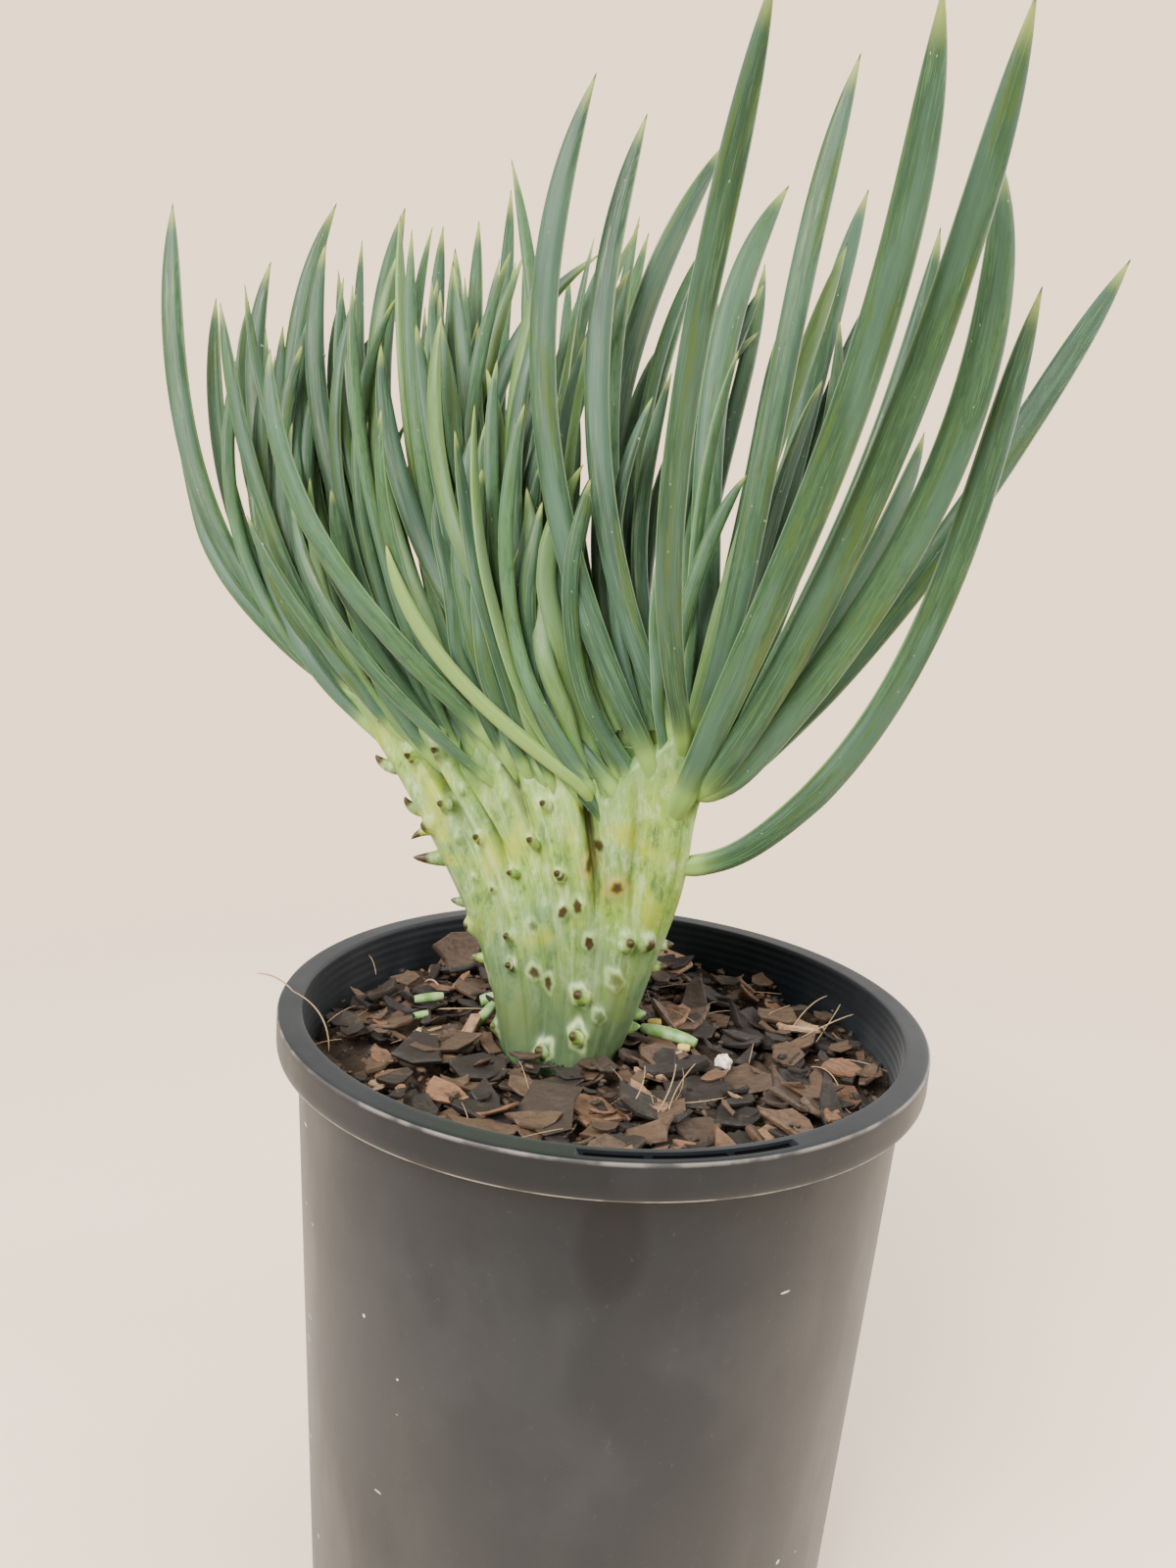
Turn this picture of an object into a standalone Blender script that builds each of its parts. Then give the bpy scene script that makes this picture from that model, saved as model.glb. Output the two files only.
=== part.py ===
"""Potted crested senecio: a nursery pot, its potting mix, one fan-shaped stem and the leaves on it.

Origin: centre of the pot's flat base, +Z up, front towards -Y. Built in metres.
"""

import math

import bmesh
import bpy
import numpy as np
from mathutils import Vector
from mathutils.bvhtree import BVHTree

# Pot
POT_HEIGHT = 0.140
RIM_RADIUS = 0.070
RIM_WIDTH = 0.0052
RIM_DROP = 0.0073
POT_WALL = 0.0013
POT_TAPER = 0.047            # loss of radius per metre of depth
FLOOR_THICKNESS = 0.0020
FOOT_CHAMFER = 0.0015
DRAIN_COUNT = 8
DRAIN_RADIUS = 0.0045
DRAIN_INSET = 0.0105         # from the pot's base edge to the holes' centres
TAG_SLOT_START = -2.0        # degrees round from the front, towards +X
TAG_SLOT_END = 31.0
TAG_RIB_ANGLES = (8.0, 20.5)
TAG_RIB_WIDTH = 0.0012
POT_SEGMENTS = 64

# Potting mix
HEADSPACE = 0.0120           # rim top down to the mix
MIX_RELIEF = 0.0010
FIT_GAP = 0.0003             # clearance between separate pieces

# Stem
STEM_BASE_HALF_WIDTH = 0.0130
STEM_BASE_HALF_DEPTH = 0.0110
STEM_CENTRE_X = -0.0095
STEM_CENTRE_Y = -0.0010
STEM_BURIED = 0.020
WAIST_RISE = 0.034
WAIST_HALF_WIDTH = 0.0207
WAIST_CENTRE_X = -0.0060
CREST_RISE = 0.066
CREST_HALF_WIDTH = 0.041
CREST_CENTRE_X = -0.0240
CREST_TURN = 0.0155          # how far each end of the crest swings off the X axis
CREST_HALF_DEPTH = 0.0080

# Leaves
LEAF_RINGS = 12
LEAF_SIDES = 6
LEAF_FLATNESS = 0.72         # thickness as a share of width
LEAF_ROOT_SHARE = 0.42       # root width as a share of full width
LEAF_GAP = 0.0005
STEM_GAP = 0.0006
LINE_POINTS = 49             # points along each leaf's centreline
SETTLE_ROUNDS = 240
NEIGHBOUR_ROUNDS = 20        # rounds between two searches for close pairs
NEIGHBOUR_REACH = 0.004
STEM_REACH = 0.025           # above the crest, where a leaf may still touch the stem
PUSH_SHARE = 0.5
PUSH_WAYS = np.array([0.45, 1.0, 0.45])

# One row for each leaf: place across the crest (-1 to 1), side of the crest (-1 front, 1 back),
# height up the stem (1 = crest), lean at the root, middle and tip (degrees, + towards +X),
# forward lean at root and tip (degrees, + towards -Y), length and width in millimetres.
LEAVES = (
    (-0.98, 0.8, 1.00, -63, -9, -2, -11, -11, 123, 4.9),
    (-0.93, 1.0, 1.00, -60, -16, -3, -18, -18, 107, 4.3),
    (-0.70, 1.0, 1.00, -44, -29, 13, -12, -12, 111, 4.4),
    (-0.68, -1.0, 0.98, -42, -45, -29, 4, -16, 55, 2.6),
    (-0.46, 1.0, 1.00, -56, -26, -9, -22, -22, 114, 2.8),
    (-0.42, 0.5, 1.00, -55, -15, 19, -18, -17, 138, 4.6),
    (-0.11, -1.0, 1.00, -50, -50, 0, 2, -12, 93, 4.1),
    (-0.17, -1.0, 0.93, -50, -56, -12, 12, -28, 74, 2.7),
    (-0.34, 1.0, 1.00, -35, -34, 11, -16, -8, 118, 4.4),
    (-0.27, 0.6, 1.00, -30, -39, 6, -22, -12, 112, 4.3),
    (-0.16, 1.0, 1.00, -47, -12, -3, -24, -22, 134, 2.8),
    (-0.12, 0.2, 1.00, -46, -9, 9, -20, -20, 131, 5.4),
    (-0.10, 1.0, 1.00, -34, -15, 8, -24, -22, 128, 2.8),
    (-0.04, 0.6, 1.00, -29, -10, 0, -22, -21, 124, 3.8),
    (0.01, 1.0, 1.00, -20, -7, -3, -24, -24, 131, 4.0),
    (0.05, 0.2, 1.00, -30, 1, -7, -18, -18, 109, 2.8),
    (0.12, 0.9, 1.00, -44, 7, -7, -19, -21, 123, 5.0),
    (0.16, -0.6, 1.00, -45, -21, 16, -20, -20, 75, 3.2),
    (0.27, 0.6, 1.00, -35, -19, 5, -23, -22, 103, 3.3),
    (0.40, 1.0, 1.00, -44, 10, -5, -22, -26, 146, 3.6),
    (0.35, -0.3, 1.00, -50, -36, -4, -14, -13, 102, 4.2),
    (0.41, -1.0, 0.94, -58, -60, -15, -9, -7, 67, 3.1),
    (0.45, 0.4, 1.00, -20, -74, 44, -13, -13, 75, 2.7),
    (0.62, 1.0, 1.00, -36, 3, -3, -30, -29, 131, 3.1),
    (0.60, -0.7, 0.97, -53, -25, 55, -28, -4, 135, 4.0),
    (0.66, 0.2, 1.00, -50, 7, -11, -26, -27, 131, 3.0),
    (0.73, 1.0, 1.00, -28, 8, 29, -19, -17, 143, 5.2),
    (0.75, 0.4, 1.00, -26, -1, 12, -27, -27, 129, 3.4),
    (0.76, -0.7, 0.97, -35, -14, 20, -9, 0, 136, 5.0),
    (0.82, 0.9, 1.00, -25, 2, 20, -28, -28, 115, 4.6),
    (0.85, -0.3, 1.00, -32, -6, 16, -9, -11, 127, 4.7),
    (0.86, 1.0, 1.00, -5, 22, 4, -24, -28, 114, 3.8),
    (0.89, 0.4, 1.00, -4, -2, 21, -25, -24, 101, 3.0),
    (0.90, -0.8, 0.99, -20, 12, 8, 20, 24, 127, 4.6),
    (0.91, 1.0, 1.00, 4, -16, 31, -18, -16, 121, 5.6),
    (0.93, -0.2, 1.00, 14, -2, 14, -4, -3, 130, 4.8),
    (0.95, 0.8, 1.00, 23, 1, 16, -16, -16, 123, 4.7),
    (0.96, 0.3, 0.98, 16, 24, 20, -14, -14, 97, 3.2),
    (0.98, 1.0, 0.98, 25, 17, -4, -14, -14, 100, 3.2),
    (0.98, 0.4, 0.94, 27, 24, 5, -7, -9, 121, 4.6),
    (0.90, -1.0, 0.84, 16, 22, -6, 17, 19, 140, 6.1),
    (0.98, -0.8, 0.92, 28, 14, 4, 13, 16, 143, 5.8),
    (0.98, 1.0, 0.92, 36, 39, 14, -21, -22, 97, 4.4),
    (0.98, 0.5, 0.92, 50, 26, 28, -8, -9, 138, 5.5),
    (0.98, -0.8, 0.93, 40, 30, -15, 9, 7, 128, 6.4),
    (0.99, -0.3, 0.70, 65, 0, 10, 10, 2, 132, 5.5),
)

# Loose pieces on the mix: bearing round the pot's axis (degrees, 0 = +X, 90 = back), place between
# stem (0) and pot wall (1), length, width and thickness in millimetres, turn in degrees.
BARK_CHIPS = (
    (72, 0.99, 15.0, 9.0, 2.4, 15),
    (132, 1.00, 17.0, 10.0, 3.0, 40),
    (-45, 0.18, 13.0, 5.0, 2.2, 20),
    (-132, 0.62, 9.0, 5.5, 2.0, -30),
    (-8, 0.88, 10.0, 6.0, 2.0, 65),
)
PERLITE = (-18, 0.40, 3.4, 3.4, 2.9, 0)
FALLEN_LEAF = (8, 0.10, 13.0, 2.6, 1.3, -25)

MM = 0.001
MIX_SEGMENTS = 48
MIX_SHARES = (0.0, 0.12, 0.27, 0.42, 0.57, 0.72, 0.86, 1.0)
STEM_POINTS = 19              # across each side of the stem
GRAIN_SIDES = 8


def material(name, colour, roughness):
    """A Principled material with one colour and one roughness."""
    made = bpy.data.materials.new(name)
    made.use_nodes = True
    shader = made.node_tree.nodes["Principled BSDF"]
    shader.inputs["Base Color"].default_value = (*colour, 1.0)
    shader.inputs["Roughness"].default_value = roughness
    made.diffuse_color = (*colour, 1.0)
    return made


def add_object(name, points, faces, finish, smooth=True):
    """One object from points and faces, with its normals turned outwards."""
    mesh = bpy.data.meshes.new(name)
    mesh.from_pydata([tuple(map(float, p)) for p in points], [], faces)
    work = bmesh.new()
    work.from_mesh(mesh)
    bmesh.ops.recalc_face_normals(work, faces=work.faces)
    work.to_mesh(mesh)
    work.free()
    mesh.materials.append(finish)
    if smooth:
        mesh.shade_smooth()
        mesh.set_sharp_from_angle(angle=math.radians(40))
    made = bpy.data.objects.new(name, mesh)
    bpy.context.scene.collection.objects.link(made)
    return made


def skin(rings):
    """Faces that join rings of equal length one to the next, each end closed by one flat face."""
    count = len(rings[0])
    faces = []
    for ring in range(len(rings) - 1):
        low = ring * count
        high = low + count
        for side in range(count):
            after = (side + 1) % count
            faces.append((low + side, low + after, high + after, high + side))
    last = (len(rings) - 1) * count
    faces.append(tuple(reversed(range(count))))
    faces.append(tuple(range(last, last + count)))
    return np.concatenate(rings), faces


def turned(radii_heights, segments):
    """Rings of a shape turned round the Z axis."""
    angle = np.linspace(0, 2 * math.pi, segments, endpoint=False)
    return [
        np.stack([r * np.cos(angle), r * np.sin(angle), np.full(segments, z)], axis=1)
        for r, z in radii_heights
    ]


def pot_outer_radius(z):
    """Outside radius of the pot's wall at height z."""
    return RIM_RADIUS - RIM_WIDTH + POT_WALL - POT_TAPER * (POT_HEIGHT - z)


def pot_inner_radius(z):
    """Inside radius of the pot's wall at height z."""
    return pot_outer_radius(z) - POT_WALL


def cut(target, cutter):
    """Takes a hidden cutter out of an object with a Boolean."""
    cutter.hide_render = True
    cutter.display_type = "WIRE"
    modifier = target.modifiers.new(cutter.name, "BOOLEAN")
    modifier.operation = "DIFFERENCE"
    modifier.solver = "EXACT"
    modifier.object = cutter


def ring_sector(name, inner, outer, start, end, low, high, finish):
    """A curved block between two radii and two angles, measured in degrees round from the front."""
    angle = np.radians(np.linspace(start, end, 9) - 90)
    rings = []
    for turn in angle:
        along = np.array([math.cos(turn), math.sin(turn), 0.0])
        up = np.array([0.0, 0.0, 1.0])
        rings.append(
            np.array(
                [
                    along * inner + up * low,
                    along * outer + up * low,
                    along * outer + up * high,
                    along * inner + up * high,
                ]
            )
        )
    return add_object(name, *skin(rings), finish, smooth=False)


def build_pot():
    """The pot: a thin tapered wall, a flat floor and a rolled rim whose skirt hangs outside the wall."""
    finish = material("pot_plastic", (0.022, 0.023, 0.025), 0.38)
    underside = POT_HEIGHT - POT_WALL
    skirt_low = POT_HEIGHT - RIM_DROP
    edge = POT_WALL * 0.35
    profile = (
        (pot_outer_radius(0) - FOOT_CHAMFER, 0.0),
        (pot_outer_radius(FOOT_CHAMFER), FOOT_CHAMFER),
        (pot_outer_radius(underside), underside),
        (RIM_RADIUS - POT_WALL, underside),
        (RIM_RADIUS - POT_WALL - edge / 2, skirt_low),
        (RIM_RADIUS - edge / 2, skirt_low),
        (RIM_RADIUS, POT_HEIGHT - edge),
        (RIM_RADIUS - edge, POT_HEIGHT),
        (pot_inner_radius(POT_HEIGHT) + edge, POT_HEIGHT),
        (pot_inner_radius(POT_HEIGHT), POT_HEIGHT - edge),
        (pot_inner_radius(FLOOR_THICKNESS), FLOOR_THICKNESS),
    )
    pot = add_object("pot", *skin(turned(profile, POT_SEGMENTS)), finish)
    hole_ring = pot_outer_radius(0) - DRAIN_INSET
    for index in range(DRAIN_COUNT):
        turn = 2 * math.pi * (index + 0.5) / DRAIN_COUNT
        rings = turned(
            ((DRAIN_RADIUS, -FLOOR_THICKNESS), (DRAIN_RADIUS, 2 * FLOOR_THICKNESS)), 16
        )
        offset = np.array([hole_ring * math.cos(turn), hole_ring * math.sin(turn), 0])
        points, faces = skin([ring + offset for ring in rings])
        cut(pot, add_object(f"drain_cutter_{index + 1}", points, faces, finish))
    inner = pot_outer_radius(POT_HEIGHT) + edge
    outer = RIM_RADIUS - POT_WALL - edge
    half_rib = math.degrees(TAG_RIB_WIDTH / 2 / inner)
    stops = [TAG_SLOT_START]
    for rib in TAG_RIB_ANGLES:
        stops += [rib - half_rib, rib + half_rib]
    stops.append(TAG_SLOT_END)
    for index in range(0, len(stops), 2):
        cutter = ring_sector(
            f"tag_slot_cutter_{index // 2 + 1}",
            inner,
            outer,
            stops[index],
            stops[index + 1],
            underside - POT_WALL,
            POT_HEIGHT + POT_WALL,
            finish,
        )
        cut(pot, cutter)


def mix_level():
    """Height of the mix above the pot's base."""
    return POT_HEIGHT - HEADSPACE


def mix_height(x, y):
    """The mix's uneven top: its level plus three crossing waves."""
    waves = np.sin(210 * x + 1.0) * np.cos(170 * y) + 0.6 * np.sin(330 * (x + y) + 2.0)
    waves = waves + 0.5 * np.cos(280 * (x - 0.7 * y))
    return mix_level() + MIX_RELIEF * waves / 2.1


def build_mix():
    """The potting mix: it fills the pot inside its wall, with a pocket for the buried end of the stem."""
    finish = material("bark_mix", (0.13, 0.075, 0.045), 0.9)
    angle = np.linspace(0, 2 * math.pi, MIX_SEGMENTS, endpoint=False)
    circle = np.stack([np.cos(angle), np.sin(angle)], axis=1)
    level = mix_level()
    low = FLOOR_THICKNESS + FIT_GAP
    pocket = circle * (np.array([STEM_BASE_HALF_WIDTH, STEM_BASE_HALF_DEPTH]) + FIT_GAP)
    pocket = pocket + np.array([STEM_CENTRE_X, STEM_CENTRE_Y])
    rings = []
    for z in (low, level - 2 * MIX_RELIEF):
        radius = pot_inner_radius(z) - FIT_GAP
        rings.append(np.column_stack([circle * radius, np.full(MIX_SEGMENTS, z)]))
    edge = circle * (pot_inner_radius(level - 2 * MIX_RELIEF) - FIT_GAP)
    for share in MIX_SHARES:
        flat = edge * (1 - share) + pocket * share
        rings.append(np.column_stack([flat, mix_height(flat[:, 0], flat[:, 1])]))
    floor = level - STEM_BURIED - FIT_GAP
    rings.append(np.column_stack([pocket, np.full(MIX_SEGMENTS, floor)]))
    add_object("potting_mix", *skin(rings), finish)


def bump(at, centre, spread):
    """A smooth bump of height 1 round centre."""
    return np.exp(-(((at - centre) / spread) ** 2))


def crest_point(across):
    """The top line of the fan, from its left end (-1) to its right end (1), with a notch between lobes."""
    z = mix_level() + CREST_RISE + 0.010 * np.clip(-across, 0, 1) ** 2
    z = z + 0.005 * bump(across, -0.08, 0.09) - 0.007 * bump(across, -0.22, 0.05)
    z = z - 0.008 * bump(across, 0.52, 0.07) + 0.008 * bump(across, 0.88, 0.16)
    z = z - 0.009 * np.clip((across - 0.93) / 0.07, 0, 1) ** 2
    x = CREST_CENTRE_X + CREST_HALF_WIDTH * across
    y = STEM_CENTRE_Y - CREST_TURN * across
    return np.stack([x, y, z], axis=-1)


def stem_middle(across, rise):
    """Middle sheet of the stem: a curve of three points from the mix, past the waist, to the crest."""
    flat = np.zeros_like(across)
    level = mix_level()
    base = np.stack(
        [STEM_CENTRE_X + STEM_BASE_HALF_WIDTH * across, flat + STEM_CENTRE_Y, flat + level],
        axis=-1,
    )
    waist = np.stack(
        [
            WAIST_CENTRE_X + WAIST_HALF_WIDTH * across,
            STEM_CENTRE_Y - 0.2 * CREST_TURN * across,
            flat + level + WAIST_RISE,
        ],
        axis=-1,
    )
    rest = 1 - rise
    return rest**2 * base + 2 * rest * rise * waist + rise**2 * crest_point(across)


def stem_depth(across, rise):
    """Half thickness of the stem: an oval that thins towards the crest and rounds over at its top."""
    thick = STEM_BASE_HALF_DEPTH + (CREST_HALF_DEPTH - STEM_BASE_HALF_DEPTH) * rise
    rounding = np.clip((rise - 0.70) / 0.30, 0, 1)
    thick = thick * np.sqrt(1 - 0.55 * rounding**2)
    groove = 1 - 0.3 * rise * (bump(across, 0.52, 0.08) + bump(across, -0.22, 0.06))
    return thick * groove * np.sqrt(np.clip(1 - across**2, 0, 1)) ** 0.9


def build_stem():
    """The crested stem: one solid fan with its buried end, skinned over oval rings."""
    finish = material("stem_skin", (0.42, 0.52, 0.26), 0.55)
    across = np.cos(np.linspace(0, math.pi, STEM_POINTS))
    rings = []
    for z in (-STEM_BURIED, -STEM_BURIED / 2):
        middle = stem_middle(across, np.float64(0)) + np.array([0, 0, z])
        depth = stem_depth(across, 0.0)
        rings.append(ring_round(middle, depth))
    for rise in (0.0, 0.12, 0.25, 0.38, 0.5, 0.6, 0.7, 0.78, 0.85, 0.91, 0.96, 1.0):
        rings.append(ring_round(stem_middle(across, np.float64(rise)), stem_depth(across, rise)))
    points, faces = skin(rings)
    count = len(rings[0])
    faces = faces[:-2]
    for start in (0, (len(rings) - 1) * count):
        faces += strip_cap(start, count)
    return add_object("crested_stem", points, faces, finish)


def ring_round(middle, depth):
    """A closed ring: the front of the sheet from right to left, then its back from left to right."""
    front = middle + np.stack([0 * depth, -depth, 0 * depth], axis=1)
    back = middle + np.stack([0 * depth, depth, 0 * depth], axis=1)
    return np.concatenate([front, back[-2:0:-1]])


def strip_cap(start, count):
    """Faces across a flattened ring, from its front points to the back points behind them."""
    faces = []
    for index in range(STEM_POINTS - 1):
        left = start + index
        corners = [left, left + 1]
        for back in (count - index - 1, count - index):
            if start + back % count not in corners:
                corners.append(start + back % count)
        faces.append(tuple(corners))
    return faces


def leaf_roots():
    """Root of each leaf on the stem's skin."""
    roots = []
    for across, side, rise, *_ in LEAVES:
        place = np.float64(across)
        middle = stem_middle(place, np.float64(rise))
        roots.append(middle + np.array([0, side * stem_depth(place, rise), 0]))
    return np.array(roots)


def leaf_lines():
    """Centreline of each leaf: its lean eases through three angles, added up along its length."""
    share = np.linspace(0, 1, LINE_POINTS)
    mid = (share[1:] + share[:-1]) / 2
    lines = []
    for root, row in zip(leaf_roots(), LEAVES):
        _, _, _, low, middle, high, fore_low, fore_high, length, _ = row
        lean = low * (1 - mid) ** 2 + 2 * middle * mid * (1 - mid) + high * mid**2
        lean = np.radians(lean)
        fore = np.radians(fore_low + (fore_high - fore_low) * mid)
        step = np.stack(
            [np.sin(lean) * np.cos(fore), -np.sin(fore), np.cos(lean) * np.cos(fore)],
            axis=1,
        )
        step = step * length * MM / len(mid)
        lines.append(np.vstack([root, root + np.cumsum(step, axis=0)]))
    return np.array(lines)


def leaf_half_widths(width):
    """Half width along a leaf: a narrow root, a long even blade and a pointed tip."""
    share = np.linspace(0, 1, LINE_POINTS)
    blade = np.minimum(1, LEAF_ROOT_SHARE + (1 - LEAF_ROOT_SHARE) * share / 0.3)
    point = np.sqrt(np.clip(1 - np.clip((share - 0.62) / 0.38, 0, 1) ** 2, 0, 1))
    return width * MM / 2 * np.maximum(blade * point, 0.04)


def neighbours(lines, radius):
    """Pairs of points on different leaves that are near enough to touch."""
    leaves, count, _ = lines.shape
    flat = lines.reshape(-1, 3)
    first, second = [], []
    for leaf in range(leaves - 1):
        mine = np.arange(leaf * count, (leaf + 1) * count)
        others = np.arange((leaf + 1) * count, leaves * count)
        apart = flat[mine][:, None, :] - flat[others][None, :, :]
        reach = radius[mine][:, None] + radius[others][None, :] + NEIGHBOUR_REACH
        row, column = np.nonzero((apart**2).sum(axis=2) < reach**2)
        first.append(mine[row])
        second.append(others[column])
    return np.concatenate(first), np.concatenate(second)


def settled(start, widths, tree):
    """Leaf centrelines eased apart, mostly in depth, until each leaf has its own room.

    Each close pair of points is pushed apart by what it lacks. The shifts are smoothed along
    each leaf, so that it bends instead of kinking, in all but the last rounds.
    """
    lines = start.copy()
    radius = widths.reshape(-1)
    smooth_rounds = int(SETTLE_ROUNDS * 0.8)
    for turn in range(SETTLE_ROUNDS):
        if turn % NEIGHBOUR_ROUNDS == 0:
            first, second = neighbours(lines, radius)
            room = radius[first] + radius[second] + LEAF_GAP
        flat = lines.reshape(-1, 3)
        apart = flat[first] - flat[second]
        short = np.clip(room - np.linalg.norm(apart, axis=1), 0, None)
        touching = np.nonzero(short > 0)[0]
        way = apart[touching] * (PUSH_WAYS if turn < smooth_rounds else 1.0)
        way /= np.linalg.norm(way, axis=1)[:, None] + 1e-9
        lack = short[touching][:, None]
        push = np.zeros_like(flat)
        weight = np.full((len(flat), 1), 1e-12)
        for ends, sign in ((first[touching], 1), (second[touching], -1)):
            np.add.at(push, ends, sign * way * lack**2)
            np.add.at(weight, ends, lack)
        move = PUSH_SHARE * (push / weight).reshape(lines.shape)
        along = np.gradient(lines, axis=1)
        along /= np.linalg.norm(along, axis=2, keepdims=True) + 1e-9
        lines = lines + move - along * (along * move).sum(axis=2, keepdims=True)
        if turn < smooth_rounds:
            shift = lines - start
            padded = np.concatenate([shift[:, :1], shift, shift[:, -1:]], axis=1)
            lines = start + (padded[:, :-2] + 2 * padded[:, 1:-1] + padded[:, 2:]) / 4
        lines = off_stem(lines, widths, tree)
    return lines


def way_out(tree, place):
    """Nearest point of the stem's skin, the way away from the stem there, and how far outside it is."""
    near, normal, _, distance = tree.find_nearest(place)
    _, facing, _, _ = tree.ray_cast(place, Vector((0, 1, 0)))
    inside = facing is not None and facing.y > 0
    way = (near - place) if inside else (place - near)
    way = way.normalized() if distance > FIT_GAP else normal
    return near, way, -distance if inside else distance


def off_stem(lines, widths, tree):
    """Every point of a centreline kept its own radius and a gap away from the stem."""
    moved = lines.copy()
    near_stem = mix_level() + CREST_RISE + STEM_REACH
    for leaf, point in zip(*np.nonzero(lines[:, :, 2] < near_stem)):
        near, way, distance = way_out(tree, Vector(moved[leaf, point]))
        need = widths[leaf, point] + STEM_GAP
        if distance < need:
            moved[leaf, point] = np.array(near + way * need)
    return moved


def leaf_rings(line, half_widths, flatness):
    """Six-sided rings along a leaf, wide across the view and thinner from front to back."""
    pick = np.linspace(0, LINE_POINTS - 1, LEAF_RINGS)
    whole = np.arange(LINE_POINTS)
    centre = np.stack([np.interp(pick, whole, line[:, axis]) for axis in range(3)], axis=1)
    half = np.interp(pick, whole, half_widths)
    along = np.gradient(centre, axis=0)
    along /= np.linalg.norm(along, axis=1)[:, None]
    across = np.cross(along, np.array([0.0, 1.0, 0.0]))
    across /= np.linalg.norm(across, axis=1)[:, None]
    through = np.cross(across, along)
    turn = np.linspace(0, 2 * math.pi, LEAF_SIDES, endpoint=False)
    rings = []
    for index in range(LEAF_RINGS):
        rings.append(
            centre[index]
            + half[index] * np.cos(turn)[:, None] * across[index]
            + half[index] * flatness * np.sin(turn)[:, None] * through[index]
        )
    return rings


def build_leaves(stem):
    """All the leaves, each its own object."""
    finish = material("leaf_skin", (0.13, 0.22, 0.12), 0.5)
    tree = BVHTree.FromPolygons(
        [vertex.co for vertex in stem.data.vertices],
        [tuple(face.vertices) for face in stem.data.polygons],
    )
    widths = np.array([leaf_half_widths(row[-1]) for row in LEAVES])
    lines = settled(leaf_lines(), widths, tree)
    for index, line in enumerate(lines):
        rings = leaf_rings(line, widths[index], LEAF_FLATNESS)
        add_object(f"leaf_{index + 1:02d}", *skin(rings), finish)


def rest_height(points):
    """Lowest height at which a piece over these points clears the mix."""
    return mix_height(points[:, 0], points[:, 1]).max() + 2 * FIT_GAP


def lie(bearing, share, length):
    """Where a piece lies on the mix: between the stem's foot and the pot's wall along one bearing."""
    way = np.array([math.cos(math.radians(bearing)), math.sin(math.radians(bearing))])
    half = np.array([STEM_BASE_HALF_WIDTH, STEM_BASE_HALF_DEPTH])
    toward = way / half
    middle = np.array([STEM_CENTRE_X, STEM_CENTRE_Y]) / half
    along = toward.dot(middle)
    square = toward.dot(toward)
    stem_edge = (along + math.sqrt(along**2 + square * (1 - middle.dot(middle)))) / square
    clear = length / 2 + 2 * FIT_GAP
    low = stem_edge + clear
    return way * (low + (pot_inner_radius(mix_level()) - clear - low) * share)


def placed(points, row):
    """Points turned about Z, moved to their place and set down on the mix."""
    bearing, share, length, _, _, turn = row
    angle = math.radians(turn)
    spin = np.array(
        [[math.cos(angle), -math.sin(angle), 0], [math.sin(angle), math.cos(angle), 0], [0, 0, 1]]
    )
    points = points @ spin.T + np.append(lie(bearing, share, length * MM), 0.0)
    points[:, 2] += rest_height(points) - points[:, 2].min()
    return points


def build_loose_pieces():
    """Bark chips, one perlite grain and one fallen leaf, each resting on the mix."""
    bark = material("bark_chip", (0.32, 0.16, 0.08), 0.85)
    outline = np.array(
        [[-0.5, -0.3], [-0.2, -0.5], [0.35, -0.42], [0.5, 0.05], [0.22, 0.48], [-0.3, 0.4]]
    )
    for index, row in enumerate(BARK_CHIPS):
        size = np.array(row[2:4]) * MM
        rings = [
            np.column_stack([outline * size * share, np.full(len(outline), z * row[4] * MM)])
            for share, z in ((0.85, 0.0), (1.0, 0.35), (0.9, 0.8), (0.6, 1.0))
        ]
        points, faces = skin(rings)
        add_object(f"bark_chip_{index + 1}", placed(points, row), faces, bark)
    size = np.array([PERLITE[2], PERLITE[3], PERLITE[4]]) * MM
    rings = turned(((0.2, 0.0), (0.42, 0.25), (0.5, 0.55), (0.38, 0.8), (0.15, 1.0)), GRAIN_SIDES)
    points, faces = skin([ring * size for ring in rings])
    white = material("perlite", (0.8, 0.78, 0.72), 0.9)
    add_object("perlite_grain", placed(points, PERLITE), faces, white)
    length, width, thick = np.array(FALLEN_LEAF[2:5]) * MM
    turn = np.linspace(0, 2 * math.pi, GRAIN_SIDES, endpoint=False)
    rings = []
    for share in np.linspace(0, 1, 7):
        plump = max(0.15, math.sin(math.pi * (0.12 + 0.8 * share)))
        x = np.full(GRAIN_SIDES, (share - 0.5) * length)
        y = width / 2 * plump * np.cos(turn)
        rings.append(np.column_stack([x, y, thick / 2 * plump * np.sin(turn)]))
    points, faces = skin(rings)
    green = material("fallen_leaf", (0.25, 0.36, 0.2), 0.5)
    add_object("fallen_leaf", placed(points, FALLEN_LEAF), faces, green)


def main():
    for item in list(bpy.data.objects):
        bpy.data.objects.remove(item)
    build_pot()
    build_mix()
    stem = build_stem()
    build_leaves(stem)
    build_loose_pieces()


main()
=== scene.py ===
import math

import bpy
import numpy as np
from mathutils import Matrix, Vector
from mathutils.bvhtree import BVHTree


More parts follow.
